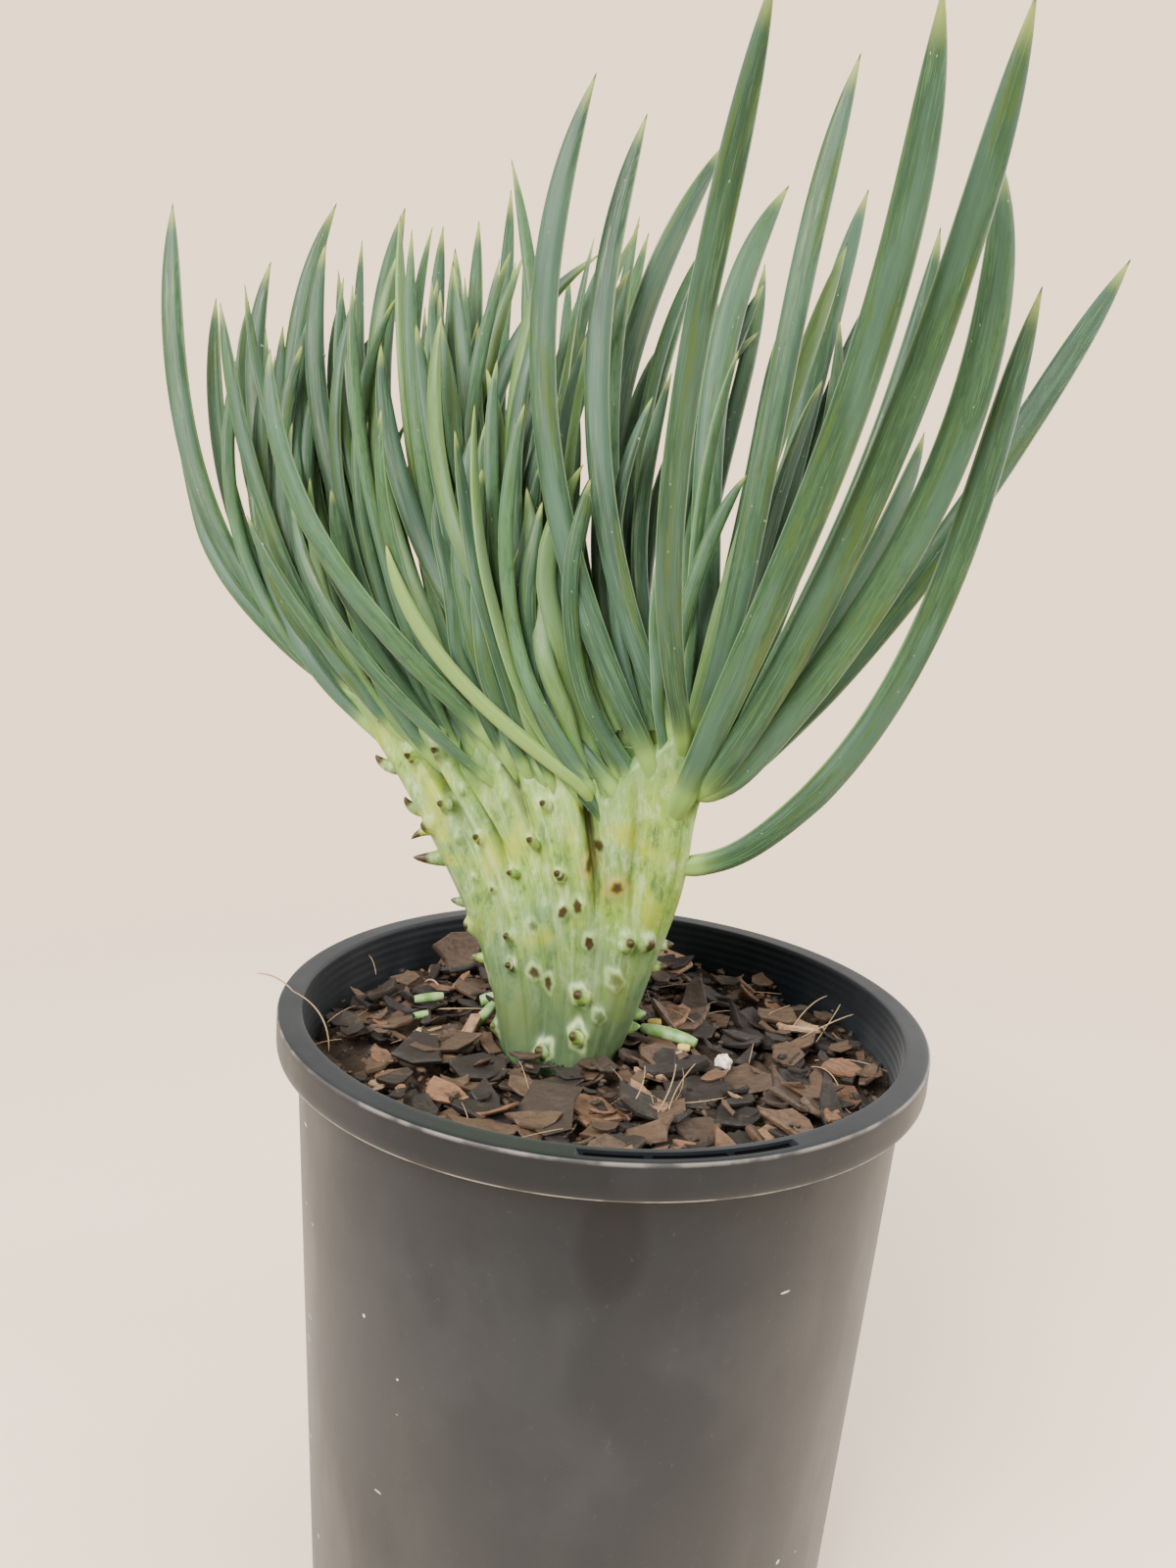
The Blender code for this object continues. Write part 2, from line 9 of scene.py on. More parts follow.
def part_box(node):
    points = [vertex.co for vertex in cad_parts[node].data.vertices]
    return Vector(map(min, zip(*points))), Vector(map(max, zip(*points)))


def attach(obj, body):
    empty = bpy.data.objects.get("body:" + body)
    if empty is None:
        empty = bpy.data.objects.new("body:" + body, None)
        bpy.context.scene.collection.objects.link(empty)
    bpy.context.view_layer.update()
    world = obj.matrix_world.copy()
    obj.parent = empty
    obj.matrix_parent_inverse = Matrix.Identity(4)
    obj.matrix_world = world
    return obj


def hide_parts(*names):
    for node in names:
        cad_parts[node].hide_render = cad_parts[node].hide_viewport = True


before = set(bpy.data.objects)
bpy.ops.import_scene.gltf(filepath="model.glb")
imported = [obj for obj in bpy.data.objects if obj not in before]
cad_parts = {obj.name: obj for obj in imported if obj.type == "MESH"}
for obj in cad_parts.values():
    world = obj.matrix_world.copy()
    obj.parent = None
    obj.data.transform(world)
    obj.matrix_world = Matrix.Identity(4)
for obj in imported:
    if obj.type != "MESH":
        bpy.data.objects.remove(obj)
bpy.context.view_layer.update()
dice = np.random.default_rng(7)
mm = 0.001

# Shared sizes of the pot, the mix and the stem, in metres.
body = {
    "potHeight": float(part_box("pot")[1][2]),
    "rimRadius": 0.070,
    "rimWidth": 0.0052,
    "rimDrop": 0.0073,
    "wall": 0.0013,
    "taper": 0.047,
    "headspace": 0.0120,
    "floor": 0.0020,
    "stemBase": (-0.0095, -0.0010),
    "stemBaseHalf": (0.0130, 0.0110),
    "waist": (-0.0060, 0.034, 0.0207),
    "crest": (-0.0240, 0.066, 0.041),
    "crestTurn": 0.0155,
    "crestHalfDepth": 0.0080,
}
level = body["potHeight"] - body["headspace"]


def pointAttribute(mesh, name, values):
    # Stores one number or one vector for each vertex.
    values = np.asarray(values, np.float32)
    kind = "FLOAT" if values.ndim == 1 else "FLOAT_VECTOR"
    layer = mesh.attributes.new(name, kind, "POINT")
    layer.data.foreach_set("value" if kind == "FLOAT" else "vector", values.ravel())


def meshFrom(name, points, quads, triangles=(), attributes=None):
    # One object from whole arrays of vertices, quads and triangles.
    quads = np.asarray(quads, np.int32).reshape(-1, 4)
    triangles = np.asarray(triangles, np.int32).reshape(-1, 3)
    mesh = bpy.data.meshes.new(name)
    mesh.vertices.add(len(points))
    mesh.vertices.foreach_set("co", np.asarray(points, np.float32).ravel())
    corners = np.concatenate([quads.ravel(), triangles.ravel()])
    mesh.loops.add(len(corners))
    mesh.loops.foreach_set("vertex_index", corners)
    starts = np.concatenate([np.arange(len(quads)) * 4, len(quads) * 4 + np.arange(len(triangles)) * 3])
    mesh.polygons.add(len(starts))
    mesh.polygons.foreach_set("loop_start", starts.astype(np.int32))
    mesh.update(calc_edges=True)
    mesh.validate()
    mesh.shade_smooth()
    for key, values in (attributes or {}).items():
        pointAttribute(mesh, key, values)
    made = bpy.data.objects.new(name, mesh)
    bpy.context.scene.collection.objects.link(made)
    return made


def tubeFaces(rings, sides, first=0):
    # Quads round a closed tube, with a fan of triangles to one pole vertex at each end.
    low = first + np.arange(rings - 1)[:, None] * sides + np.arange(sides)[None, :]
    after = first + np.arange(rings - 1)[:, None] * sides + (np.arange(sides)[None, :] + 1) % sides
    quads = np.stack([low, after, after + sides, low + sides], axis=-1).reshape(-1, 4)
    around = np.arange(sides)
    after = (around + 1) % sides
    pole = first + rings * sides
    start = np.stack([first + after, first + around, np.full(sides, pole)], axis=1)
    last = first + (rings - 1) * sides
    end = np.stack([last + around, last + after, np.full(sides, pole + 1)], axis=1)
    return quads, np.concatenate([start, end])


def joined(name, parts):
    # Several tubes as one object: each part is its rings (rings, sides, 3) and its attributes.
    points, quads, triangles = [], [], []
    attributes = {}
    first = 0
    for rings, extra in parts:
        count, sides, _ = rings.shape
        points += [rings.reshape(-1, 3), rings[:1].mean(axis=1), rings[-1:].mean(axis=1)]
        newQuads, newTriangles = tubeFaces(count, sides, first)
        quads.append(newQuads)
        triangles.append(newTriangles)
        for key, values in extra.items():
            flat = values.reshape(count * sides, -1)
            poles = [values[0].reshape(sides, -1).mean(axis=0), values[-1].reshape(sides, -1).mean(axis=0)]
            attributes.setdefault(key, []).append(np.vstack([flat, poles]))
        first += count * sides + 2
    merged = {key: np.squeeze(np.concatenate(values)) for key, values in attributes.items()}
    return meshFrom(name, np.concatenate(points), np.concatenate(quads), np.concatenate(triangles), merged)


def newMaterial(name):
    made = bpy.data.materials.new(name)
    made.use_nodes = True
    return made, made.node_tree, made.node_tree.nodes["Principled BSDF"]


def feed(tree, socket, value):
    # A socket is linked, and a number or a colour is set on the input itself.
    if isinstance(value, bpy.types.NodeSocket):
        tree.links.new(value, socket)
    elif isinstance(value, (tuple, list)) and len(value) == 3 and socket.type == "RGBA":
        socket.default_value = (*value, 1.0)
    else:
        socket.default_value = value


def maths(tree, operation, first, second=0.0):
    made = tree.nodes.new("ShaderNodeMath")
    made.operation = operation
    feed(tree, made.inputs[0], first)
    feed(tree, made.inputs[1], second)
    return made.outputs[0]


def blend(tree, factor, first, second):
    made = tree.nodes.new("ShaderNodeMix")
    made.data_type = "RGBA"
    feed(tree, made.inputs[0], factor)
    feed(tree, made.inputs[6], first)
    feed(tree, made.inputs[7], second)
    return made.outputs[2]


def remap(tree, value, low, high, toLow=0.0, toHigh=1.0):
    made = tree.nodes.new("ShaderNodeMapRange")
    made.interpolation_type = "SMOOTHSTEP"
    feed(tree, made.inputs[0], value)
    for index, number in enumerate((low, high, toLow, toHigh)):
        made.inputs[index + 1].default_value = number
    return made.outputs[0]


def layered(tree, colour, value, low, high, most, over):
    # A second colour laid over the first as a value passes from low to high, up to a share of most.
    return blend(tree, remap(tree, value, low, high, 0.0, most), colour, over)


def attribute(tree, name, vector=False):
    made = tree.nodes.new("ShaderNodeAttribute")
    made.attribute_name = name
    return made.outputs["Vector" if vector else "Fac"]


def parts3(tree, vector):
    made = tree.nodes.new("ShaderNodeSeparateXYZ")
    tree.links.new(vector, made.inputs[0])
    return made.outputs


def stretched(tree, vector, scale):
    made = tree.nodes.new("ShaderNodeMapping")
    tree.links.new(vector, made.inputs[0])
    made.inputs["Scale"].default_value = scale
    return made.outputs[0]


def mottlingGroup():
    # The mottling that most finishes share: noise over coordinates stretched by a share for each axis.
    group = bpy.data.node_groups.new("mottling", "ShaderNodeTree")
    sockets = (("Coordinates", "Vector"), ("Stretch", "Vector"), ("Detail", "Float"), ("Roughness", "Float"))
    for name, kind in sockets:
        group.interface.new_socket(name, in_out="INPUT", socket_type="NodeSocket" + kind)
    group.interface.new_socket("Value", in_out="OUTPUT", socket_type="NodeSocketFloat")
    start, end = group.nodes.new("NodeGroupInput"), group.nodes.new("NodeGroupOutput")
    mapping, texture = group.nodes.new("ShaderNodeMapping"), group.nodes.new("ShaderNodeTexNoise")
    texture.inputs["Scale"].default_value = 1.0
    group.links.new(start.outputs["Coordinates"], mapping.inputs["Vector"])
    group.links.new(start.outputs["Stretch"], mapping.inputs["Scale"])
    group.links.new(mapping.outputs[0], texture.inputs["Vector"])
    group.links.new(start.outputs["Detail"], texture.inputs["Detail"])
    group.links.new(start.outputs["Roughness"], texture.inputs["Roughness"])
    group.links.new(texture.outputs[0], end.inputs["Value"])
    return group


def noise(tree, vector, scale, detail=2.0, roughness=0.5):
    made = tree.nodes.new("ShaderNodeGroup")
    made.node_tree = bpy.data.node_groups.get("mottling") or mottlingGroup()
    tree.links.new(vector, made.inputs["Coordinates"])
    made.inputs["Stretch"].default_value = scale if isinstance(scale, tuple) else (scale, scale, scale)
    made.inputs["Detail"].default_value = detail
    made.inputs["Roughness"].default_value = roughness
    return made.outputs["Value"]


def cells(tree, vector, scale):
    # Distance to the nearest of many scattered points, for small flecks.
    made = tree.nodes.new("ShaderNodeTexVoronoi")
    tree.links.new(vector, made.inputs["Vector"])
    made.inputs["Scale"].default_value = scale
    return made.outputs["Distance"]


def bumped(tree, height, strength, distance):
    made = tree.nodes.new("ShaderNodeBump")
    tree.links.new(height, made.inputs["Height"])
    made.inputs["Strength"].default_value = strength
    made.inputs["Distance"].default_value = distance
    return made.outputs[0]


def objectCoordinates(tree):
    return tree.nodes.new("ShaderNodeTexCoord").outputs["Object"]


def bump(at, centre, spread):
    # A smooth bell of height 1 around its centre.
    return np.exp(-(((at - centre) / spread) ** 2))


def crossAxes(line, reference):
    # The two directions square to a line at each of its points, the first also square to reference.
    along = np.gradient(line, axis=0)
    along /= np.linalg.norm(along, axis=1)[:, None]
    wide = np.cross(along, np.array(reference))
    wide /= np.linalg.norm(wide, axis=1)[:, None]
    return wide, np.cross(wide, along)


def unitRings(line, reference, sides):
    # Circles of radius 1 square to a line, one at each of its points.
    angle = np.linspace(0, 2 * np.pi, sides, endpoint=False)
    wide, through = crossAxes(line, reference)
    return np.cos(angle)[None, :, None] * wide[:, None] + np.sin(angle)[None, :, None] * through[:, None]


def crestPoint(across):
    # Top line of the fan: the crest's height with lobes and notches at their places across it.
    x, rise, half = body["crest"]
    z = level + rise + 0.010 * np.clip(-across, 0, 1) ** 2
    z = z + 0.005 * bump(across, -0.08, 0.09) - 0.007 * bump(across, -0.22, 0.05)
    z = z - 0.008 * bump(across, 0.52, 0.07) + 0.008 * bump(across, 0.88, 0.16)
    z = z - 0.009 * np.clip((across - 0.93) / 0.07, 0, 1) ** 2
    return np.stack([x + half * across, body["stemBase"][1] - body["crestTurn"] * across, z], axis=-1)


def stemMiddle(across, rise):
    # Middle sheet of the stem: a three-point curve from the mix, past the waist, to the crest.
    flat = np.zeros_like(across)
    x, y = body["stemBase"]
    base = np.stack([x + body["stemBaseHalf"][0] * across, flat + y, flat + level], axis=-1)
    wx, wz, half = body["waist"]
    waist = np.stack([wx + half * across, y - 0.2 * body["crestTurn"] * across, flat + level + wz], axis=-1)
    rise = np.asarray(rise)[..., None]
    rest = 1 - rise
    return rest**2 * base + 2 * rest * rise * waist + rise**2 * crestPoint(across)


def stemDepth(across, rise):
    # Half thickness of the stem, an oval that thins towards the crest and rounds over at its top.
    thick = body["stemBaseHalf"][1] + (body["crestHalfDepth"] - body["stemBaseHalf"][1]) * rise
    rounding = np.clip((rise - 0.70) / 0.30, 0, 1)
    thick = thick * np.sqrt(1 - 0.55 * rounding**2)
    groove = 1 - 0.3 * rise * (bump(across, 0.52, 0.08) + bump(across, -0.22, 0.06))
    return thick * groove * np.sqrt(np.clip(1 - across**2, 0, 1)) ** 0.9


def stemSkin(across, side, rise, inset=0.0):
    # A point of the stem's skin: side -1 is the front and 1 the back, moved inwards by inset.
    shift = side * np.clip(stemDepth(across, rise) - inset, 0, None)
    return stemMiddle(across, rise) + np.stack([0 * shift, shift, 0 * shift], axis=-1)


# One row for each leaf: place across the crest, side of the crest, height up the stem, lean at the
# root, middle and tip (degrees), forward lean at root and tip, length and width in millimetres.
# Most leans, lengths and widths were worked out by a fitting program, then rounded: they are data,
# not a design, and stand as an open fault.
leafRows = (
    (-0.98, 0.8, 1.00, -63, -9, -2, -11, -11, 123, 4.9),
    (-0.93, 1.0, 1.00, -60, -16, -3, -18, -18, 107, 4.3),
    (-0.70, 1.0, 1.00, -44, -29, 13, -12, -12, 111, 4.4),
    (-0.68, -1.0, 0.98, -42, -45, -29, 4, -16, 55, 2.6),
    (-0.46, 1.0, 1.00, -56, -26, -9, -22, -22, 114, 2.8),
    (-0.42, 0.5, 1.00, -55, -15, 19, -18, -17, 138, 4.6),
    (-0.11, -1.0, 1.00, -50, -50, 0, 2, -12, 93, 4.1),
    (-0.17, -1.0, 0.93, -50, -56, -12, 12, -28, 74, 2.7),
    (-0.34, 1.0, 1.00, -35, -34, 11, -16, -8, 118, 4.4),
    (-0.27, 0.6, 1.00, -30, -39, 6, -22, -12, 112, 4.3),
    (-0.16, 1.0, 1.00, -47, -12, -3, -24, -22, 134, 2.8),
    (-0.12, 0.2, 1.00, -46, -9, 9, -20, -20, 131, 5.4),
    (-0.10, 1.0, 1.00, -34, -15, 8, -24, -22, 128, 2.8),
    (-0.04, 0.6, 1.00, -29, -10, 0, -22, -21, 124, 3.8),
    (0.01, 1.0, 1.00, -20, -7, -3, -24, -24, 131, 4.0),
    (0.05, 0.2, 1.00, -30, 1, -7, -18, -18, 109, 2.8),
    (0.12, 0.9, 1.00, -44, 7, -7, -19, -21, 123, 5.0),
    (0.16, -0.6, 1.00, -45, -21, 16, -20, -20, 75, 3.2),
    (0.27, 0.6, 1.00, -35, -19, 5, -23, -22, 103, 3.3),
    (0.40, 1.0, 1.00, -44, 10, -5, -22, -26, 146, 3.6),
    (0.35, -0.3, 1.00, -50, -36, -4, -14, -13, 102, 4.2),
    (0.41, -1.0, 0.94, -58, -60, -15, -9, -7, 67, 3.1),
    (0.45, 0.4, 1.00, -20, -74, 44, -13, -13, 75, 2.7),
    (0.62, 1.0, 1.00, -36, 3, -3, -30, -29, 131, 3.1),
    (0.60, -0.7, 0.97, -53, -25, 55, -28, -4, 135, 4.0),
    (0.66, 0.2, 1.00, -50, 7, -11, -26, -27, 131, 3.0),
    (0.73, 1.0, 1.00, -28, 8, 29, -19, -17, 143, 5.2),
    (0.75, 0.4, 1.00, -26, -1, 12, -27, -27, 129, 3.4),
    (0.76, -0.7, 0.97, -35, -14, 20, -9, 0, 136, 5.0),
    (0.82, 0.9, 1.00, -25, 2, 20, -28, -28, 115, 4.6),
    (0.85, -0.3, 1.00, -32, -6, 16, -9, -11, 127, 4.7),
    (0.86, 1.0, 1.00, -5, 22, 4, -24, -28, 114, 3.8),
    (0.89, 0.4, 1.00, -4, -2, 21, -25, -24, 101, 3.0),
    (0.90, -0.8, 0.99, -20, 12, 8, 20, 24, 127, 4.6),
    (0.91, 1.0, 1.00, 4, -16, 31, -18, -16, 121, 5.6),
    (0.93, -0.2, 1.00, 14, -2, 14, -4, -3, 130, 4.8),
    (0.95, 0.8, 1.00, 23, 1, 16, -16, -16, 123, 4.7),
    (0.96, 0.3, 0.98, 16, 24, 20, -14, -14, 97, 3.2),
    (0.98, 1.0, 0.98, 25, 17, -4, -14, -14, 100, 3.2),
    (0.98, 0.4, 0.94, 27, 24, 5, -7, -9, 121, 4.6),
    (0.90, -1.0, 0.84, 16, 22, -6, 17, 19, 140, 6.1),
    (0.98, -0.8, 0.92, 28, 14, 4, 13, 16, 143, 5.8),
    (0.98, 1.0, 0.92, 36, 39, 14, -21, -22, 97, 4.4),
    (0.98, 0.5, 0.92, 50, 26, 28, -8, -9, 138, 5.5),
    (0.98, -0.8, 0.93, 40, 30, -15, 9, 7, 128, 6.4),
    (0.99, -0.3, 0.70, 65, 0, 10, 10, 2, 132, 5.5),
)
leaf = {
    "rootShare": 0.74,
    "pointFrom": 0.50,
    "flatness": 0.66,
    "hollow": 0.16,
    "wobble": 0.02,
    "wobbleStep": 0.011,
    "solidRoot": 0.42,
    "sides": 26,
    "rings": 84,
    "innerSides": 16,
    "innerRings": 44,
    "innerCount": 100,
    "innerRight": 26,
    "youngShare": 0.14,
    "yellowed": (21,),
    "dark": (0.010, 0.042, 0.017),
    "pale": (0.050, 0.130, 0.043),
    # Painted sheen: the colour laid along both sides of each leaf.
    "edge": (0.19, 0.31, 0.12),
    "base": (0.19, 0.33, 0.070),
    "bloom": (0.048, 0.110, 0.070),
    "rubbed": (0.048, 0.088, 0.010),
    "tip": (0.33, 0.40, 0.08),
    "point": (0.07, 0.02, 0.025),
}
linePoints = 49
sideways = (0.0, 1.0, 0.0)


def swept(roots, rows):
    # Centrelines: the lean eases through three angles and the steps add up along the leaf.
    share = np.linspace(0, 1, linePoints)
    mid = ((share[1:] + share[:-1]) / 2)[None, :]
    rows = np.asarray(rows, float)
    low, middle, high, foreLow, foreHigh, length = (rows[:, index, None] for index in range(3, 9))
    lean = np.radians(low * (1 - mid) ** 2 + 2 * middle * mid * (1 - mid) + high * mid**2)
    fore = np.radians(foreLow + (foreHigh - foreLow) * mid)
    step = np.stack([np.sin(lean) * np.cos(fore), -np.sin(fore), np.cos(lean) * np.cos(fore)], axis=-1)
    step = step * (length * mm / mid.size)[..., None]
    return np.concatenate([roots[:, None], roots[:, None] + np.cumsum(step, axis=1)], axis=1)


def halfWidths(widths, rootShare):
    # Half width along a leaf: a narrower root, a long even blade and a pointed tip.
    share = np.linspace(0, 1, linePoints)
    blade = np.minimum(1, rootShare + (1 - rootShare) * share / 0.3)
    point = np.sqrt(np.clip(1 - np.clip((share - 0.62) / 0.38, 0, 1) ** 2, 0, 1))
    return np.asarray(widths, float)[:, None] * mm / 2 * np.maximum(blade * point, 0.04)


def shownWidths(rows):
    # Half width as it is seen: like halfWidths, with its last third drawn to a sharp point.
    share = np.linspace(0, 1, linePoints)
    blade = np.minimum(1, leaf["rootShare"] + (1 - leaf["rootShare"]) * share / 0.25)
    late = np.clip((share - leaf["pointFrom"]) / (1 - leaf["pointFrom"]), 0, 1)
    point = 1 - late**5.4
    widths = np.array([row[-1] for row in rows], float)
    return widths[:, None] * mm / 2 * np.maximum(blade * point * 1.07, 0.03)


def closePairs(lines, radius):
    # Pairs of points on different leaves that are near enough to touch.
    count = lines.shape[1]
    flat = lines.reshape(-1, 3)
    first, second = [], []
    for index in range(len(lines) - 1):
        mine = np.arange(index * count, (index + 1) * count)
        others = np.arange((index + 1) * count, len(flat))
        others = others[np.abs(flat[others, 0] - flat[mine, 0].mean()) < 0.09]
        apart = flat[mine][:, None, :] - flat[others][None, :, :]
        reach = radius[mine][:, None] + radius[others][None, :] + 0.004
        row, column = np.nonzero((apart**2).sum(axis=2) < reach**2)
        first.append(mine[row])
        second.append(others[column])
    return np.concatenate(first), np.concatenate(second)


def offStem(lines, widths, tree):
    # Every point of a centreline kept its own radius and a gap away from the stem.
    moved = lines.copy()
    for index, point in zip(*np.nonzero(lines[:, :, 2] < level + body["crest"][1] + 0.025)):
        place = Vector(moved[index, point])
        near, normal, _, distance = tree.find_nearest(place)
        facing = tree.ray_cast(place, Vector((0, 1, 0)))[1]
        inside = facing is not None and facing.y > 0
        way = ((near - place) if inside else (place - near)).normalized() if distance > 0.0003 else normal
        need = widths[index, point] + 0.0006
        if (-distance if inside else distance) < need:
            moved[index, point] = np.array(near + way * need)
    return moved


def settled(start, widths, rounds, free, tree=None, gap=0.0005, smoothShare=0.8):
    # Centrelines eased apart, mostly in depth: close pairs push by what they lack, and the shifts are
    # smoothed along each leaf in all but the last rounds. Only the free leaves move.
    lines = start.copy()
    radius = widths.reshape(-1)
    smoothRounds = int(rounds * smoothShare)
    for turn in range(rounds):
        if turn % 20 == 0:
            first, second = closePairs(lines, radius)
            room = radius[first] + radius[second] + gap
        flat = lines.reshape(-1, 3)
        apart = flat[first] - flat[second]
        short = np.clip(room - np.linalg.norm(apart, axis=1), 0, None)
        touching = np.nonzero(short > 0)[0]
        way = apart[touching] * (np.array([0.45, 1.0, 0.45]) if turn < smoothRounds else 1.0)
        way /= np.linalg.norm(way, axis=1)[:, None] + 1e-9
        lack = short[touching][:, None]
        push = np.zeros_like(flat)
        weight = np.full((len(flat), 1), 1e-12)
        for ends, sign in ((first[touching], 1), (second[touching], -1)):
            np.add.at(push, ends, sign * way * lack**2)
            np.add.at(weight, ends, lack)
        move = 0.5 * (push / weight).reshape(lines.shape) * free[:, None, None]
        along = np.gradient(lines, axis=1)
        along /= np.linalg.norm(along, axis=2, keepdims=True) + 1e-9
        lines = lines + move - along * (along * move).sum(axis=2, keepdims=True)
        if turn < smoothRounds:
            shift = lines - start
            padded = np.concatenate([shift[:, :1], shift, shift[:, -1:]], axis=1)
            lines = start + (padded[:, :-2] + 2 * padded[:, 1:-1] + padded[:, 2:]) / 4
        if tree is not None:
            lines = offStem(lines, widths, tree)
    return lines


def evenly(values, count):
    # Arrays of points resampled to count, with a curve through four points at a time.
    at = np.linspace(0, len(values) - 1, count)
    low = np.clip(at.astype(int), 0, len(values) - 2)
    part = (at - low)[:, None]
    before, start, end, after = (values[np.clip(low + k, 0, len(values) - 1)] for k in (-1, 0, 1, 2))
    return 0.5 * (
        2 * start
        + (end - before) * part
        + (2 * before - 5 * start + 4 * end - after) * part**2
        + (3 * start - before - 3 * end + after) * part**3
    )


def leafTube(row, line, half, seed, rings, sides, twist):
    # A leaf: an oval section, slightly hollowed in front, carried along its centreline. Its foot runs
    # down the stem's skin and sinks into it.
    across, side, rise = row[:3]
    steps = np.arange(7, 0, -1)
    foot = stemSkin(
        across * (1 - 0.01 * steps), side * np.ones(7), rise - 0.011 * steps, 0.00038 * steps
    )
    whole = np.vstack([foot, line[2:]])
    footHalf = half[2] * np.linspace(0.35, 1.0, 7)
    widths = np.concatenate([footHalf, half[2:]])
    share = np.concatenate([-0.006 * steps, np.linspace(0, 1, linePoints)[2:]])
    for _ in range(5):
        smooth = whole.copy()
        smooth[1:16] = (whole[:15] + 2 * whole[1:16] + whole[2:17]) / 4
        whole = smooth
    centre = evenly(whole, rings)
    half = np.clip(evenly(widths[:, None], rings)[:, 0], 0.00004, None)
    share = evenly(share[:, None], rings)[:, 0]
    length = np.concatenate([[0], np.cumsum(np.linalg.norm(np.diff(centre, axis=0), axis=1))])
    wide, through = crossAxes(centre, sideways)
    turn = np.radians(twist) * (0.3 + 0.7 * np.clip(share, 0, 1))[:, None]
    wide, through = (
        wide * np.cos(turn) + through * np.sin(turn),
        through * np.cos(turn) - wide * np.sin(turn),
    )
    angle = np.linspace(0, 2 * np.pi, sides, endpoint=False)
    flatness = leaf["flatness"] + 0.2 * np.clip(1 - share / 0.15, 0, 1)[:, None]
    hollow = 1 - leaf["hollow"] * bump(np.cos(angle), 0, 0.45)[None, :] * (np.sin(angle) < 0)
    wobble = 1 + leaf["wobble"] * np.sin(length / leaf["wobbleStep"] + seed * 40)[:, None]
    x = half[:, None] * np.cos(angle)[None, :] * wobble
    y = half[:, None] * flatness * np.sin(angle)[None, :] * hollow
    points = centre[:, None] + x[..., None] * wide[:, None] + y[..., None] * through[:, None]
    ones = np.ones((rings, sides))
    # The first mark is 1 at the two sides of the section, where the material paints its sheen.
    marks = np.stack([np.abs(np.cos(angle))[None, :] * ones, share[:, None] * ones, seed * ones], axis=-1)
    place = np.stack([x + 0.6 * y, length[:, None] * ones, seed * 0.7 * ones], axis=-1)
    return points, {"leafMarks": marks, "leafPlace": place}


def leafMaterial():
    # Dark and pale green by leaf, streaked along it, with a waxy bloom, rubbed patches, a painted sheen along
    # both sides of each leaf and a pale tip.
    made, tree, shader = newMaterial("leafSkin")
    edge, along, seed = parts3(tree, attribute(tree, "leafMarks", True))
    place = attribute(tree, "leafPlace", True)
    fine = noise(tree, place, (5200, 90, 900), 3)
    broad = noise(tree, place, (700, 40, 900), 2)
    rub = noise(tree, place, (760, 42, 700), 5, 0.68)
    bloom = noise(tree, place, (260, 30, 500), 2)
    tone = maths(tree, "ADD", maths(tree, "MULTIPLY", broad, 0.60), maths(tree, "MULTIPLY", seed, 0.55))
    colour = blend(tree, remap(tree, tone, 0.28, 0.88), leaf["dark"], leaf["pale"])
    colour = layered(tree, colour, fine, 0.50, 0.68, 0.5, (0.100, 0.200, 0.085))
    mottle = noise(tree, place, (1500, 260, 900), 4, 0.7)
    colour = layered(tree, colour, mottle, 0.50, 0.36, 0.55, leaf["dark"])
    colour = layered(tree, colour, bloom, 0.46, 0.62, 0.6, leaf["bloom"])
    rubbed = maths(tree, "MULTIPLY", remap(tree, rub, 0.53, 0.62), remap(tree, along, 0.03, 0.2))
    colour = blend(tree, maths(tree, "MULTIPLY", rubbed, 0.72), colour, leaf["rubbed"])
    # Painted sheen: lighter along both sides of each leaf.
    colour = layered(tree, colour, edge, 0.91, 1.0, 0.85, leaf["edge"])
    speck = maths(tree, "LESS_THAN", cells(tree, stretched(tree, place, (520, 190, 400)), 1.0), 0.045)
    colour = blend(tree, maths(tree, "MULTIPLY", speck, 0.35), colour, (0.6, 0.66, 0.55))
    colour = layered(tree, colour, along, 0.080, -0.01, 1.0, leaf["base"])
    colour = layered(tree, colour, seed, 1.2, 1.6, 0.7, (0.20, 0.32, 0.06))
    colour = layered(tree, colour, along, 0.935, 0.99, 0.65, leaf["tip"])
    colour = layered(tree, colour, along, 0.985, 0.998, 1.0, leaf["point"])
    feed(tree, shader.inputs["Base Color"], colour)
    feed(tree, shader.inputs["Roughness"], remap(tree, rubbed, 0.0, 1.0, 0.52, 0.36))
    shader.inputs["Specular IOR Level"].default_value = 0.34
    shader.inputs["Sheen Weight"].default_value = 0.10
    shader.inputs["Subsurface Weight"].default_value = 0.12
    shader.inputs["Subsurface Radius"].default_value = (0.0012, 0.002, 0.0008)
    feed(tree, shader.inputs["Normal"], bumped(tree, fine, 0.16, 0.0004))
    return made


def innerRows():
    # Leaves behind and between the numbered ones: each takes its lean from the rows nearest to it
    # across the crest, with its own length and a little freedom.
    rows = np.asarray(leafRows, float)
    count = leaf["innerCount"]
    across = np.linspace(-0.97, 0.97, count) + dice.normal(0, 0.01, count)
    across = np.concatenate([across, dice.uniform(0.15, 0.85, leaf["innerRight"])])
    made = []
    for place in np.clip(across, -0.98, 0.98):
        near = bump(rows[:, 0], place, 0.10) * (rows[:, 8] > 90) * (rows[:, 6] < 5)
        mean = (rows * near[:, None]).sum(axis=0) / near.sum()
        front = dice.uniform() < 0.28
        depth = dice.uniform(-1.0, -0.4) if front else dice.uniform(-0.35, 1.0)
        length = mean[8] * (dice.uniform(0.45, 0.75) if front else dice.uniform(0.62, 0.99))
        lean = mean[3:6] + dice.normal(0, (5, 7, 10))
        fore = -8 - 14 * max(depth + 0.35, 0) + dice.normal(0, 3)
        rise = dice.uniform(0.92, 0.99) if front else 1.0
        foreTip = fore + dice.normal(0, 4)
        made.append((place, depth, rise, *lean, fore, foreTip, length, dice.uniform(2.4, 4.0)))
    return np.array(made)


